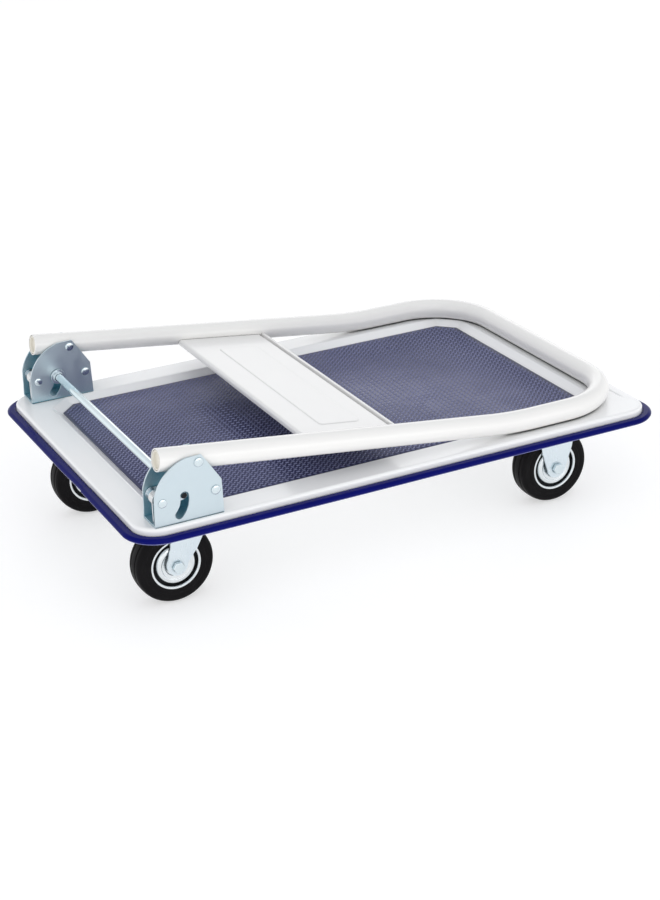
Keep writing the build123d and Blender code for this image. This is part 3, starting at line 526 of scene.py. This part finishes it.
def lerp_ring(a, b, t):
    return [tuple(p + (q - p) * t for p, q in zip(u, v)) for u, v in zip(a, b)]


WB_L, WB_W = MAT_L / 2 + WELL_GAP, MAT_W / 2 + WELL_GAP
CUT_B = MAT_CUT + 0.6
slope_k = WELL_RUN / (PAN_TOP - WELL_FLOOR)


def well_ring(z_surface, extra, z):
    """octagon on the slope: how far it has run out at that height"""
    run = (z_surface - WELL_FLOOR) * slope_k + extra
    return oct_ring(WB_L + run, WB_W + run, CUT_B + 0.586 * run, z)


def pan_surface(off):
    """rings from the lip's inner edge, round the rim and down into the well; off is the depth below the outer face"""
    rings = []
    # lip under the rim and the outer wall
    rb = 2.2
    rings.append(rect_ring(LIP_IN, PAN_BASE + off))
    rings.append(rect_ring(rb + 1.5, PAN_BASE + off))
    for k in range(0, 6):
        a = rad(90 * k / 5)
        r = rb - off
        rings.append(rect_ring(rb - r * sin(a), PAN_BASE + rb - r * cos(a)))
    rt = 3.8
    rings.append(rect_ring(off, (PAN_BASE + PAN_TOP) / 2))
    for k in range(0, 8):
        a = rad(90 * k / 7)
        r = rt - off
        rings.append(rect_ring(rt - r * cos(a), PAN_TOP - rt + r * sin(a)))
    z = PAN_TOP - off
    outer = rings[-1]
    # soft crease at the top of the slope
    th = math.atan2(PAN_TOP - WELL_FLOOR, WELL_RUN)
    rc = 4.5
    tl = rc * math.tan(th / 2)
    inner = well_ring(PAN_TOP, tl, z)
    ts = [0.02, 0.10, 0.18, 0.24, 0.262, 0.278, 0.292, 0.305, 0.317, 0.330, 0.344, 0.360, 0.376, 0.40, 0.5, 0.64, 0.8, 0.93]
    for t in ts:
        ring = lerp_ring(outer, inner, t)
        out = []
        for x, y, zz in ring:
            dz = 0.0
            if x > 0:
                w = max(0.0, 1 - abs(x - GROOVE_X) / 2.3)
                w = w * w * (3 - 2 * w)
                e = max(0.0, min(1.0, (GROOVE_HALF + 2 - abs(y)) / 6.0))
                dz -= 0.85 * w * e * e * (3 - 2 * e)
            # a faint draw ripple in the corner of the pressing
            q = ((x + 312) / 16) ** 2 + ((y - 168) / 11) ** 2
            dz += 0.45 * math.exp(-q) - 0.35 * math.exp(-(((x + 300) / 10) ** 2 + ((y - 181) / 8) ** 2))
            out.append((x, y, zz + dz))
        rings.append(out)
    # circle centre of the crease is below the sheet: convex
    cz = PAN_TOP - rc
    for k in range(0, 7):
        a = th * k / 6
        r = rc - off
        run = tl - rc * sin(a) + off * sin(a)
        # position measured from the sharp corner outwards
        rings.append(oct_off(tl - r * sin(a), cz + r * cos(a)))
    # concave crease at the foot of the slope
    rf = 2.2
    tf = rf * math.tan(th / 2)
    cz2 = WELL_FLOOR + rf
    for k in range(0, 6):
        a = th * (1 - k / 5)
        r = rf + off
        rings.append(oct_low(-tf + r * sin(a), cz2 - r * cos(a)))
    return rings


def oct_off(e, z):
    return oct_ring(WB_L + WELL_RUN + e, WB_W + WELL_RUN + e, CUT_B + 0.586 * (WELL_RUN + e), z)


def oct_low(e, z):
    return oct_ring(WB_L + e, WB_W + e, CUT_B + 0.586 * e, z)


top = pan_surface(0.0)
under = pan_surface(SHEET)
rings = [under[0]] + top
v1, f1 = loft(top, cap_end=True)
n = len(top[0])
v2, f2 = loft(under, cap_end=True)
verts = v1 + v2
faces = list(f1) + [tuple(i + len(v1) for i in f)[::-1] for f in f2]
for j in range(n):
    k = (j + 1) % n
    faces.append((j, len(v1) + j, len(v1) + k, k))
pan = build("deck_pan_pressed", verts, faces, "deck", deck_white, ("deck_pan",), "deck_paint", sharp=50, fix_normals=True)

# ------------------------------------------------------------------ deck mat with raised checker bars
def octagon(hl, hw, cut):
    return [(MAT_X + hl - cut, -hw), (MAT_X + hl, -hw + cut), (MAT_X + hl, hw - cut), (MAT_X + hl - cut, hw),
            (MAT_X - hl + cut, hw), (MAT_X - hl, hw - cut), (MAT_X - hl, -hw + cut), (MAT_X - hl + cut, -hw)]


z0, z1, z2 = WELL_FLOOR + 0.02, WELL_FLOOR + MAT_T - 0.7, WELL_FLOOR + MAT_T
edge = []
for ins, z in ((0.0, z0), (0.0, z1 - 0.5), (0.12, z1 - 0.2), (0.4, z1)):
    edge.append([(x, y, z) for x, y in octagon(MAT_L / 2 - ins, MAT_W / 2 - ins, MAT_CUT - 0.586 * ins)])
mv, mf = loft(edge, cap_start=True, cap_end=True)
PITCH, BAR_L, BAR_W = 5.3, 5.8, 2.0
bars_v, bars_f = [], []
hl, hw, cut = MAT_L / 2, MAT_W / 2, MAT_CUT
count = int(420 / PITCH)
r2 = math.sqrt(0.5)
for i in range(-count, count + 1):
    for j in range(-count, count + 1):
        cx = MAT_X + (i + j) * PITCH * r2
        cy = (i - j) * PITCH * r2
        inset = 2.3
        if abs(cx - MAT_X) > hl - inset or abs(cy) > hw - inset:
            continue
        if abs(cx - MAT_X) + abs(cy) > hl + hw - cut - 1.414 * inset:
            continue
        d = (r2, r2) if (i + j) % 2 == 0 else (r2, -r2)
        e = (-d[1], d[0])
        o = len(bars_v)
        L, W = BAR_L / 2, BAR_W / 2
        for a, b, z in ((-L, 0, z1), (-L * 0.35, -W, z1), (L * 0.35, -W, z1), (L, 0, z1), (L * 0.35, W, z1), (-L * 0.35, W, z1),
                        (-L * 0.62, 0, z2), (-L * 0.22, -W * 0.32, z2), (L * 0.22, -W * 0.32, z2), (L * 0.62, 0, z2),
                        (L * 0.22, W * 0.32, z2), (-L * 0.22, W * 0.32, z2)):
            bars_v.append((cx + d[0] * a + e[0] * b, cy + d[1] * a + e[1] * b, z - (0.03 if z == z1 else 0)))
        for k in range(6):
            k2 = (k + 1) % 6
            bars_f.append((o + k, o + k2, o + 6 + k2, o + 6 + k))
        bars_f.append(tuple(o + 6 + k for k in range(6)))
mat_ob = build("deck_mat_embossed", *join([(mv, mf), (bars_v, bars_f)]), "deck", mat_vinyl, ("deck_mat",), "mat_vinyl", sharp=50, weighted=False, fix_normals=True)
# the tops of the raised bars get a lighter blue: a painted highlight
mat_ob.data.materials.append(mat_raised_highlight)
for poly in mat_ob.data.polygons:
    if poly.center.z / MM > z1 + 0.12:
        poly.material_index = 1

# ------------------------------------------------------------------ edge bumper: soft extruded strip, open at its joint
section = rounded([(0.05, BUMP_BOT + 0.4), (1.2, BUMP_BOT), (6.0, BUMP_BOT + 0.05), (10.7, BUMP_BOT + 2.7), (11.2, BUMP_BOT + 3.8),
                   (10.7, BUMP_BOT + 4.2), (12.0, BUMP_BOT + 4.7), (12.0, BUMP_BOT + 6.6), (9.0, BUMP_TOP), (2.4, BUMP_TOP),
                   (1.4, BUMP_TOP - 0.9), (0.05, BUMP_TOP - 1.0)],
                  [0.2, 0.8, 3.0, 1.2, 0.4, 0.3, 0.7, 2.6, 3.0, 1.0, 0.4, 0.2], seg=5)
hx, hy = PAN_L / 2 - PAN_R, PAN_W / 2 - PAN_R
path = []


def line(p, q, nx, ny, cnt):
    for k in range(cnt):
        t = k / cnt
        path.append((p[0] + (q[0] - p[0]) * t, p[1] + (q[1] - p[1]) * t, nx, ny))


def arc(cx, cy, a0, cnt):
    for k in range(cnt):
        a = rad(a0 + 90 * k / cnt)
        path.append((cx + PAN_R * cos(a), cy + PAN_R * sin(a), cos(a), sin(a)))


G_HALF = 0.6
start_y, end_y = BUMP_GAP_Y - G_HALF, BUMP_GAP_Y + G_HALF
line((-PAN_L / 2, start_y), (-PAN_L / 2, -hy), -1, 0, 14)
arc(-hx, -hy, 180, 18)
line((-hx, -PAN_W / 2), (hx, -PAN_W / 2), 0, -1, 60)
arc(hx, -hy, 270, 18)
line((PAN_L / 2, -hy), (PAN_L / 2, hy), 1, 0, 34)
arc(hx, hy, 0, 18)
line((hx, PAN_W / 2), (-hx, PAN_W / 2), 0, 1, 60)
arc(-hx, hy, 90, 18)
line((-PAN_L / 2, hy), (-PAN_L / 2, end_y), -1, 0, 24)
path.append((-PAN_L / 2, end_y, -1, 0))
rings = []
total = len(path)
for i, (x, y, nx, ny) in enumerate(path):
    # the strip is hand-fitted: it wanders a little, and its two ends don't meet exactly
    s = i / total
    wave = 0.10 * sin(s * 37.0) + 0.07 * sin(s * 91.0 + 1.3)
    near = max(0.0, 1 - i / 7.0)
    far = max(0.0, 1 - (total - 1 - i) / 7.0)
    dz = 0.10 * sin(s * 53.0 + 0.4) + 0.15 * near - 0.75 * far
    do = -0.12 + 0.05 * wave - 1.9 * far
    ring = []
    for o, z in section:
        w = o / BUMP_OUT
        oo = min(BUMP_OUT - 0.02, max(0.04, o + (do + wave) * w))
        ring.append((x + nx * oo, y + ny * oo, min(BUMP_TOP + 0.2, z + dz * 0.8)))
    rings.append(ring)
bv, bf = loft(rings, cap_start=True, cap_end=True)
bumper = build("edge_bumper_strip", bv, bf, "deck", vinyl, ("edge_bumper",), "bumper_vinyl", sharp=55)
# the lip under the strip is smoother than its face, and painted lighter: a painted reflection of the pale floor
bumper.data.materials.append(vinyl_lip_reflection)
for poly in bumper.data.polygons:
    if poly.center.z / MM < BUMP_BOT + 4.0 and poly.normal.z < -0.25:
        poly.material_index = 1

# ------------------------------------------------------------------ handle tube
DROP = BEND_R * (1 - cos(rad(SLOPE)))
B0_Z = LOOP_Z + DROP
B0_X = PIVOT_X + (PIVOT_Z - B0_Z) / T
B1_X = B0_X + BEND_R * S
END_X, END_Z = PIVOT_X - OVERHANG * C, PIVOT_Z + OVERHANG * S
line_pts = []


def half_path():
    """centre line of the near side, from the open end to the middle of the loop"""
    out = []
    for k in range(25):
        t = k / 24
        out.append((END_X + (B0_X - END_X) * t, -TUBE_Y, END_Z + (B0_Z - END_Z) * t))
    for k in range(1, 13):
        a = rad(SLOPE) * (1 - k / 12)
        out.append((B1_X - BEND_R * sin(a), -TUBE_Y, LOOP_Z + BEND_R * (1 - cos(a))))
    cx, cy = LOOP_X - LOOP_R, TUBE_Y - LOOP_R
    for k in range(1, 9):
        t = k / 8
        out.append((B1_X + (cx - B1_X) * t, -TUBE_Y, LOOP_Z))
    for k in range(1, 33):
        a = rad(90 * k / 32)
        out.append((cx + LOOP_R * sin(a), -cy - LOOP_R * cos(a), LOOP_Z))
    for k in range(1, 9):
        out.append((LOOP_X, -cy * (1 - k / 8), LOOP_Z))
    return out


hp = half_path()
centre = hp + [(x, -y, z) for x, y, z in hp[::-1][1:]]


def tube_rings(points, r_fn, seg):
    pts = [Vector(p) for p in points]
    rings = []
    up = Vector((0, 0, 1))
    for i, p in enumerate(pts):
        t = (pts[min(i + 1, len(pts) - 1)] - pts[max(i - 1, 0)]).normalized()
        side = t.cross(up).normalized()
        u = side.cross(t).normalized()
        r = r_fn(i)
        rings.append([tuple(p + side * (r * cos(2 * pi * j / seg)) + u * (r * sin(2 * pi * j / seg))) for j in range(seg)])
    return rings


SEG = 48
tdir = Vector((C, 0, -S))
outer = []
# rounded end edges, then the run
first = Vector(centre[0])
pre = []
for d, dr in ((0.0, 0.55), (0.08, 0.32), (0.25, 0.12), (0.55, 0.0)):
    pre.append((tuple(first + tdir * d), TUBE_R - dr))
ptsR = pre + [(p, TUBE_R) for p in centre[1:-1]]
last = Vector(centre[-1])
for d, dr in ((0.55, 0.0), (0.25, 0.12), (0.08, 0.32), (0.0, 0.55)):
    ptsR.append((tuple(last + tdir * d), TUBE_R - dr))
outer = tube_rings([p for p, _ in ptsR], lambda i: ptsR[i][1], SEG)
# the end rings must stand square to the tube: rebuild their planes from the straight run's direction


def square_ring(p, r, y_sign):
    side = Vector((0, -1, 0)) if y_sign < 0 else Vector((0, 1, 0))
    t = tdir if y_sign < 0 else -tdir
    side = t.cross(Vector((0, 0, 1))).normalized()
    u = side.cross(t).normalized()
    return [tuple(Vector(p) + side * (r * cos(2 * pi * j / SEG)) + u * (r * sin(2 * pi * j / SEG))) for j in range(SEG)]


for i in range(5):
    outer[i] = square_ring(ptsR[i][0], ptsR[i][1], -1)
    k = len(ptsR) - 1 - i
    outer[k] = square_ring(ptsR[k][0], ptsR[k][1], 1)
RI = TUBE_R - TUBE_WALL
inner = []
for d, r in ((0.0, RI + 0.35), (0.3, RI), (9.0, RI), (60.0, RI)):
    inner.append((first + tdir * d, r))
inn = [square_ring(p, r, -1) for p, r in inner]
inner2 = [square_ring(last + tdir * d, r, 1) for d, r in ((60.0, RI), (9.0, RI), (0.3, RI), (0.0, RI + 0.35))]
rings = inn[::-1] + outer + inner2[::-1]
tv, tf = loft(rings)
build("handle_tube_bent", tv, tf, "handle", handle_white, ("handle_tube",), "handle_paint", sharp=50, fix_normals=False)

# plugs: a cup with a rolled lip set a little inside each end
plug_parts = []
for sg in (-1, 1):
    base = Vector((END_X, sg * TUBE_Y, END_Z))
    prof = rounded([(10.0, 0.0), (10.0, 11.9), (1.3, 11.9), (0.4, 11.2), (0.5, 10.2), (1.4, 9.7), (3.9, 9.4), (4.4, 8.8), (4.4, 2.8), (3.4, 2.2), (3.4, 0.0)],
                   [0, 0.3, 0.5, 0.4, 0.4, 0.4, 0.4, 0.5, 0.6, 0.3, 0], seg=4, closed=False)
    rr = []
    for d, r in prof:
        rr.append(square_ring(base + tdir * d, max(r, 0.001), -1))
    plug_parts.append(loft(rr))
pv, pf = join(plug_parts)
build("tube_plugs_cup", pv, pf, "handle", plug_ivory, ("tube_plugs",), "plug_plastic", sharp=50)

# ------------------------------------------------------------------ cross panel: pressed sheet
A_, B_, PD = PANEL_A, PANEL_B, PANEL_DROP
prof = rounded([(A_, -PD - PANEL_EDGE), (A_, -PD), (B_ - 9.0, -PD), (B_ - 7.8, -PD - 5.6), (B_ - 5.4, -PD - 5.6), (B_ - 4.9, -PD + 1.4), (B_, -PD + 1.4), (B_, -PD - PANEL_EDGE)],
               [0, 3.8, 1.1, 0.9, 0.9, 1.2, 1.9, 0], seg=7, closed=False)
# more stations over the flat, closer at the raised rectangle's edges
stations = []
for (u0, w0), (u1, w1) in zip(prof[:-1], prof[1:]):
    if u1 - u0 > 50:
        us = [u0, u0 + 4, u0 + 12, u0 + 20, u0 + 28]
        r0, r1 = A_ + 36, A_ + 92
        us += [r0 - 2 + 0.5 * k for k in range(0, 22)] + [r0 + 14, r0 + 28, r1 - 14] + [r1 - 9 + 0.5 * k for k in range(0, 23)] + [r1 + 6, u1 - 12, u1 - 4]
        us = sorted(set(round(u, 3) for u in us if u0 <= u < u1 - 0.5))
        for u in us:
            stations.append((u, w0))
    else:
        stations.append((u0, w0))
stations.append(prof[-1])
HALF = TUBE_Y - TUBE_R + 1.6
ys = [-HALF, -HALF + 1.0, -HALF + 2.5, -HALF + 6, -HALF + 16, -HALF + 30]
ys += [-152 + 0.5 * k for k in range(0, 23)] + [-138, -120, -90, -60, -30, 0]
ys = sorted(set(ys + [-y for y in ys]))


def raised(u, y):
    """soft pressed rectangle: height by distance to its rounded edge"""
    qx, qy = abs(u - (A_ + 64)) - (28 - 6), abs(y + 1) - (148 - 6)
    d = math.hypot(max(qx, 0), max(qy, 0)) + min(max(qx, qy), 0) - 6
    t = max(0.0, min(1.0, (0.6 - d) / 1.9))
    return 0.9 * t * t * (3 - 2 * t)


def tube_edge(w):
    """where the sheet meets the tube at that height"""
    return TUBE_Y - math.sqrt(max(TUBE_R ** 2 - w * w, 0.0)) if abs(w) < TUBE_R else TUBE_Y


verts, faces = [], []
flat_lo, flat_hi = A_ + 4, B_ - 10
for u, w in stations:
    edge_y = min(tube_edge(w), TUBE_Y - 4.0) + 0.15
    for y in ys:
        yy = y
        if abs(y) > 170:
            # the ends follow the tube's flank
            k = (abs(y) - 170) / (HALF - 170)
            yy = math.copysign(170 + k * (edge_y - 170), y)
        h = raised(u, y) if flat_lo < u < flat_hi else 0.0
        # the sheet is drawn down slightly towards the welds
        sag = -0.35 * max(0.0, (abs(y) - 178) / 19.0) ** 2
        ww = w + h + sag
        verts.append((PIVOT_X + u * C + ww * S, yy, PIVOT_Z - u * S + ww * C))
m = len(ys)
for i in range(len(stations) - 1):
    for j in range(m - 1):
        a = i * m + j
        faces.append((a, a + m, a + m + 1, a + 1))
panel = build("handle_panel_pressed", verts, faces, "handle", panel_white_shaded, ("handle_panel",), "handle_paint", sharp=60, weighted=False, fix_normals=False)
so = panel.modifiers.new("sheet", "SOLIDIFY")
so.thickness = PANEL_T * MM
so.offset = -1.0
w = panel.modifiers.new("weighted", "WEIGHTED_NORMAL")
w.keep_sharp = True

# ------------------------------------------------------------------ rivets of the brackets
def rivet_parts(x, z, mid_r, head_r=5.6, head_h=2.5, flat=0.55):
    out = []
    half = HALF_GAP + BR_T
    for sg in (-1, 1):
        y = sg * TUBE_Y
        dome = [(0.0, 0.0), (0.0, head_r - 0.2), (0.2, head_r), (0.7, head_r), (1.15, head_r - 0.15), (1.45, head_r - 0.5), (1.7, head_r - 1.0),
                (2.05, head_r * 0.66), (2.3, head_r * 0.45), (2.47, head_r * 0.22), (2.53, 0.0)]
        k = head_h / 2.53
        prof = []
        for a, r in dome[::-1]:
            prof.append((-(half + a * k), max(r, 0.01)))
        prof = prof[:-1]
        prof += [(-(half), head_r - 0.25), (-(half), PIN_R), (-HALF_GAP + 0.05, PIN_R)]
        if mid_r > PIN_R:
            prof += [(-HALF_GAP + 0.05, mid_r - 0.3), (-HALF_GAP + 0.35, mid_r), (HALF_GAP - 0.35, mid_r), (HALF_GAP - 0.05, mid_r - 0.3)]
        prof += [(HALF_GAP - 0.05, PIN_R), (half, PIN_R)]
        for a, r in dome[1:]:
            prof.append((half + a * k, max(r, 0.01)))
        out.append(revolve_y(prof, x, y, z, n=40, closed=False))
    return join(out)


for nm, dx, dz, mr, hr, hh in (("pivot_pins", 0, 0, PIN_R, 5.6, 2.0), ("stop_pins", STOP_DX, STOP_DZ, STOP_R, 5.7, 2.2), ("spring_pins", SPR_DX, SPR_DZ, PIN_R, 5.2, 1.6)):
    v, f = rivet_parts(PIVOT_X + dx, PIVOT_Z + dz, mr, hr, hh)
    build(nm + "_domed", v, f, "deck", zinc_bolt, (nm,), "fastener_zinc", sharp=50, weighted=False)

# ------------------------------------------------------------------ wheels
tyre_prof = rounded([(-13.6, 31.2), (-14.9, 32.7), (-15.0, 38.0), (-14.55, 38.8), (-14.75, 39.6), (-15.0, 44.4), (-13.9, 47.5), (-11.0, 49.15), (-7.1, 49.75), (-6.5, 48.4), (-5.3, 48.4), (-4.7, 49.88),
                     (0, 50.0), (4.7, 49.88), (5.3, 48.4), (6.5, 48.4), (7.1, 49.75), (11.0, 49.15), (13.9, 47.5), (15.0, 44.4), (14.75, 39.6), (14.55, 38.8), (15.0, 38.0), (14.9, 32.7), (13.6, 31.2)],
                    [0, 1.2, 2.0, 0.5, 0.6, 3.5, 2.6, 3.0, 0.3, 0.2, 0.2, 0.3, 0, 0.3, 0.2, 0.2, 0.3, 3.0, 2.6, 3.5, 0.6, 0.5, 2.0, 1.2, 0], seg=5)


def rim_half(sg):
    pts = [(0.2, 31.4), (13.4, 31.4), (14.4, 32.0), (15.15, 31.5), (15.05, 29.7), (13.8, 28.85), (8.0, 28.45), (7.8, 25.6), (12.2, 25.0), (14.2, 23.8),
           (15.1, 21.8), (15.2, 19.4), (14.3, 18.2), (14.2, 14.6), (13.4, 13.6), (13.4, 9.1), (12.2, 9.1), (12.2, 13.9), (12.9, 15.2), (13.0, 18.8),
           (13.9, 20.2), (13.3, 22.4), (11.2, 23.6), (6.4, 24.3), (6.4, 29.9), (0.2, 29.9)]
    rr = [0, 0.8, 0.4, 0.6, 1.0, 1.0, 0.8, 0.6, 1.0, 1.4, 2.2, 1.2, 0.9, 0.9, 0.7, 0.3, 0.3, 0.8, 0.8, 0.8, 1.0, 1.4, 1.2, 0.8, 0.8, 0]
    pr = rounded(pts, rr, seg=4)
    return [(sg * a, r) for a, r in pr]


for kind, wx in (("swivel", WHEEL_SW_X), ("fixed", WHEEL_FX_X)):
    for side, wy in (("right", -WHEEL_Y), ("left", WHEEL_Y)):
        nm = f"{kind}_{side}"
        body = f"wheel_{nm}"
        v, f = revolve_y(tyre_prof, wx, wy, AX_Z, n=144)
        build(f"tyre_{nm}_moulded", v, f, body, rubber, (f"tyre_{nm}",), "tyre_rubber", sharp=50, weighted=False)
        v, f = join([revolve_y(rim_half(sg), wx, wy, AX_Z, n=96) for sg in (-1, 1)])
        rim = build(f"rim_{nm}_pressed", v, f, body, zinc_rim, (f"rim_{nm}",), "rim_zinc", sharp=50, weighted=False)
        # the bottom of the groove between flange and disc is painted near-black: painted shade
        rim.data.materials.append(shade_black)
        for poly in rim.data.polygons:
            c = poly.center / MM
            r_c, a_c = math.hypot(c.x - wx, c.z - AX_Z), abs(c.y - wy)
            if 24.6 < r_c < 28.3 and 6.9 < a_c < 12.7:
                poly.material_index = 1
        hub = rounded([(-16.8, 6.06), (-16.8, 8.0), (-15.6, 9.0), (15.6, 9.0), (16.8, 8.0), (16.8, 6.06)], [0.2, 0.6, 0.8, 0.8, 0.6, 0.2], seg=4)
        v, f = revolve_y(hub, wx, wy, AX_Z, n=64)
        build(f"hub_{nm}_turned", v, f, body, hub_steel, (f"hub_{nm}",), "hub_steel", sharp=50, weighted=False)

# ------------------------------------------------------------------ the CAD pieces that keep their shape, with broken edges
BODY = {}
for b_name, members in frame["record"]["behaviour"]["bodies"].items():
    for m_ in members:
        BODY[m_] = b_name


def keep(node, mat, bevel=0.3, angle=32, segments=2, edit=None):
    return refine(node, mat, BODY[node], bevel, angle, segments, edit=edit)


def bend_edges(bm):
    """the two folds at the bottom of a bracket get their bend radius"""
    out_y, in_y = TUBE_Y + HALF_GAP + BR_T, TUBE_Y - HALF_GAP - BR_T
    picked = []
    for e in bm.edges:
        a, b = (v.co / MM for v in e.verts)
        if abs(a.z - PAN_TOP) < 0.05 and abs(b.z - PAN_TOP) < 0.05 and abs(a.y - b.y) < 0.05 and abs(a.x - b.x) > 5:
            if min(abs(abs(a.y) - out_y), abs(abs(a.y) - in_y)) < 0.1:
                picked.append(e)
    bmesh.ops.bevel(bm, geom=picked, offset=2.3 * MM, segments=5, profile=0.5, affect="EDGES", clamp_overlap=True)


def stub_end(ob):
    """the sawn end of the stub is painted near-black: painted shade and dark reflection on its recessed face"""
    ob.data.materials.append(shade_black)
    for f in ob.data.polygons:
        c = f.center / MM
        if abs(f.normal.y) > 0.98 and abs(abs(c.y) - (TUBE_Y + HALF_GAP + BR_T - 1.2)) < 0.15:
            f.material_index = 1


for s_ in ("right", "left"):
    keep(f"bracket_{s_}", zinc_plate, 0.4, 32, 3, edit=bend_edges)
    stub_end(keep(f"latch_yoke_{s_}", zinc_fork, 0.7))
    keep(f"latch_spring_{s_}", spring_wire, None)
    keep(f"swivel_plate_{s_}", zinc_fork, 0.5, 32, 3)
    keep(f"swivel_fork_{s_}", zinc_fork, 0.5, 32, 3)
    keep(f"fixed_fork_{s_}", zinc_fork, 0.5, 32, 3)
    keep(f"swivel_balls_{s_}", hub_steel, None)
    keep(f"axle_sleeve_swivel_{s_}", hub_steel, 0.2)
    for k_ in ("swivel", "fixed"):
        keep(f"axle_bolt_{k_}_{s_}", zinc_bolt, 0.35)
        keep(f"axle_nut_{k_}_{s_}", zinc_bolt, 0.35)
keep("foot_bar", bar_zinc, 0.4)
keep("bar_washers", zinc_fork, 0.35)
keep("bracket_bolts", zinc_bolt, 0.4)
keep("bracket_nuts", zinc_bolt, 0.3)
keep("caster_bolts", zinc_bolt, 0.4)
keep("caster_nuts", zinc_bolt, 0.3)
keep("king_pins", zinc_bolt, 0.5)
keep("axle_sleeves_fixed", hub_steel, 0.2)
keep("pivot_washers", bush_nylon, 0.2)
keep("pivot_bushes", bush_nylon, 0.2)
keep("crossmember_rear", channel_white, 0.5)
keep("crossmember_front", channel_white, 0.5)
keep("deck_stiffeners", channel_white, 0.5)

# ------------------------------------------------------------------ floor, light, camera
me = bpy.data.meshes.new("floor")
me.from_pydata([(-14, -14, 0), (14, -14, 0), (14, 14, 0), (-14, 14, 0)], [], [(0, 1, 2, 3)])
floor = bpy.data.objects.new("floor", me)
bpy.context.scene.collection.objects.link(floor)
fm, fnt, fb = new_mat("floor_pale", (0.60, 0.60, 0.60), 0.8, spec=0.1)
fb.inputs["Emission Color"].default_value = (1, 1, 1, 1)
fb.inputs["Emission Strength"].default_value = 0.50
me.materials.append(fm)

world = bpy.data.worlds.new("studio")
bpy.context.scene.world = world
world.use_nodes = True
wn = world.node_tree
bg = wn.nodes["Background"]
bg.inputs["Strength"].default_value = 1.20
tc = wn.nodes.new("ShaderNodeTexCoord")
sep = wn.nodes.new("ShaderNodeSeparateXYZ")
wn.links.new(tc.outputs["Generated"], sep.inputs[0])
wr = wn.nodes.new("ShaderNodeValToRGB")
wr.color_ramp.elements[0].position = 0.0
wr.color_ramp.elements[0].color = (1.0, 1.0, 1.0, 1)
wr.color_ramp.elements[1].position = 0.75
wr.color_ramp.elements[1].color = (0.58, 0.59, 0.61, 1)
wn.links.new(sep.outputs["Z"], wr.inputs["Fac"])
wn.links.new(wr.outputs["Color"], bg.inputs["Color"])


def area(name, loc, target, size, power, color=(1, 1, 1)):
    d = bpy.data.lights.new(name, "AREA")
    d.shape = "RECTANGLE"
    d.size, d.size_y = size
    d.energy = power
    d.color = color
    o = bpy.data.objects.new(name, d)
    bpy.context.scene.collection.objects.link(o)
    o.location = loc
    o.rotation_mode = "QUATERNION"
    o.rotation_quaternion = (Vector(target) - Vector(loc)).to_track_quat("-Z", "Y")
    return o


area("key_top", (-0.3, -1.4, 2.2), (0, 0, 0.1), (1.8, 1.4), 6)
area("side_left", (-2.4, -1.0, 1.1), (-0.1, 0, 0.12), (1.4, 1.2), 3)
area("front_low", (0.6, -2.9, 0.75), (0.0, -0.2, 0.12), (2.4, 0.9), 8)
area("back_right", (1.9, 2.9, 1.35), (0.1, 0, 0.12), (2.2, 1.3), 6)

yaw, pitch, roll = rad(-26.66), rad(24.3), rad(-1.87)
back = Vector((sin(yaw) * cos(pitch), -cos(yaw) * cos(pitch), sin(pitch)))
right = Vector((cos(yaw), sin(yaw), 0))
up = back.cross(right)
r_ = right * cos(roll) + up * sin(roll)
u_ = -right * sin(roll) + up * cos(roll)
cam_loc = (back * 2411.7 + r_ * 2.6 + u_ * 66.9) * MM
cd = bpy.data.cameras.new("camera")
cd.lens = 72.576
cd.sensor_width = 36
cd.clip_start, cd.clip_end = 0.05, 60
cam = bpy.data.objects.new("camera", cd)
bpy.context.scene.collection.objects.link(cam)
cam.matrix_world = Matrix(((r_.x, u_.x, back.x, cam_loc.x), (r_.y, u_.y, back.y, cam_loc.y), (r_.z, u_.z, back.z, cam_loc.z), (0, 0, 0, 1)))
bpy.context.scene.camera = cam
bpy.context.scene.view_settings.view_transform = "Standard"
bpy.context.scene.view_settings.look = "None"
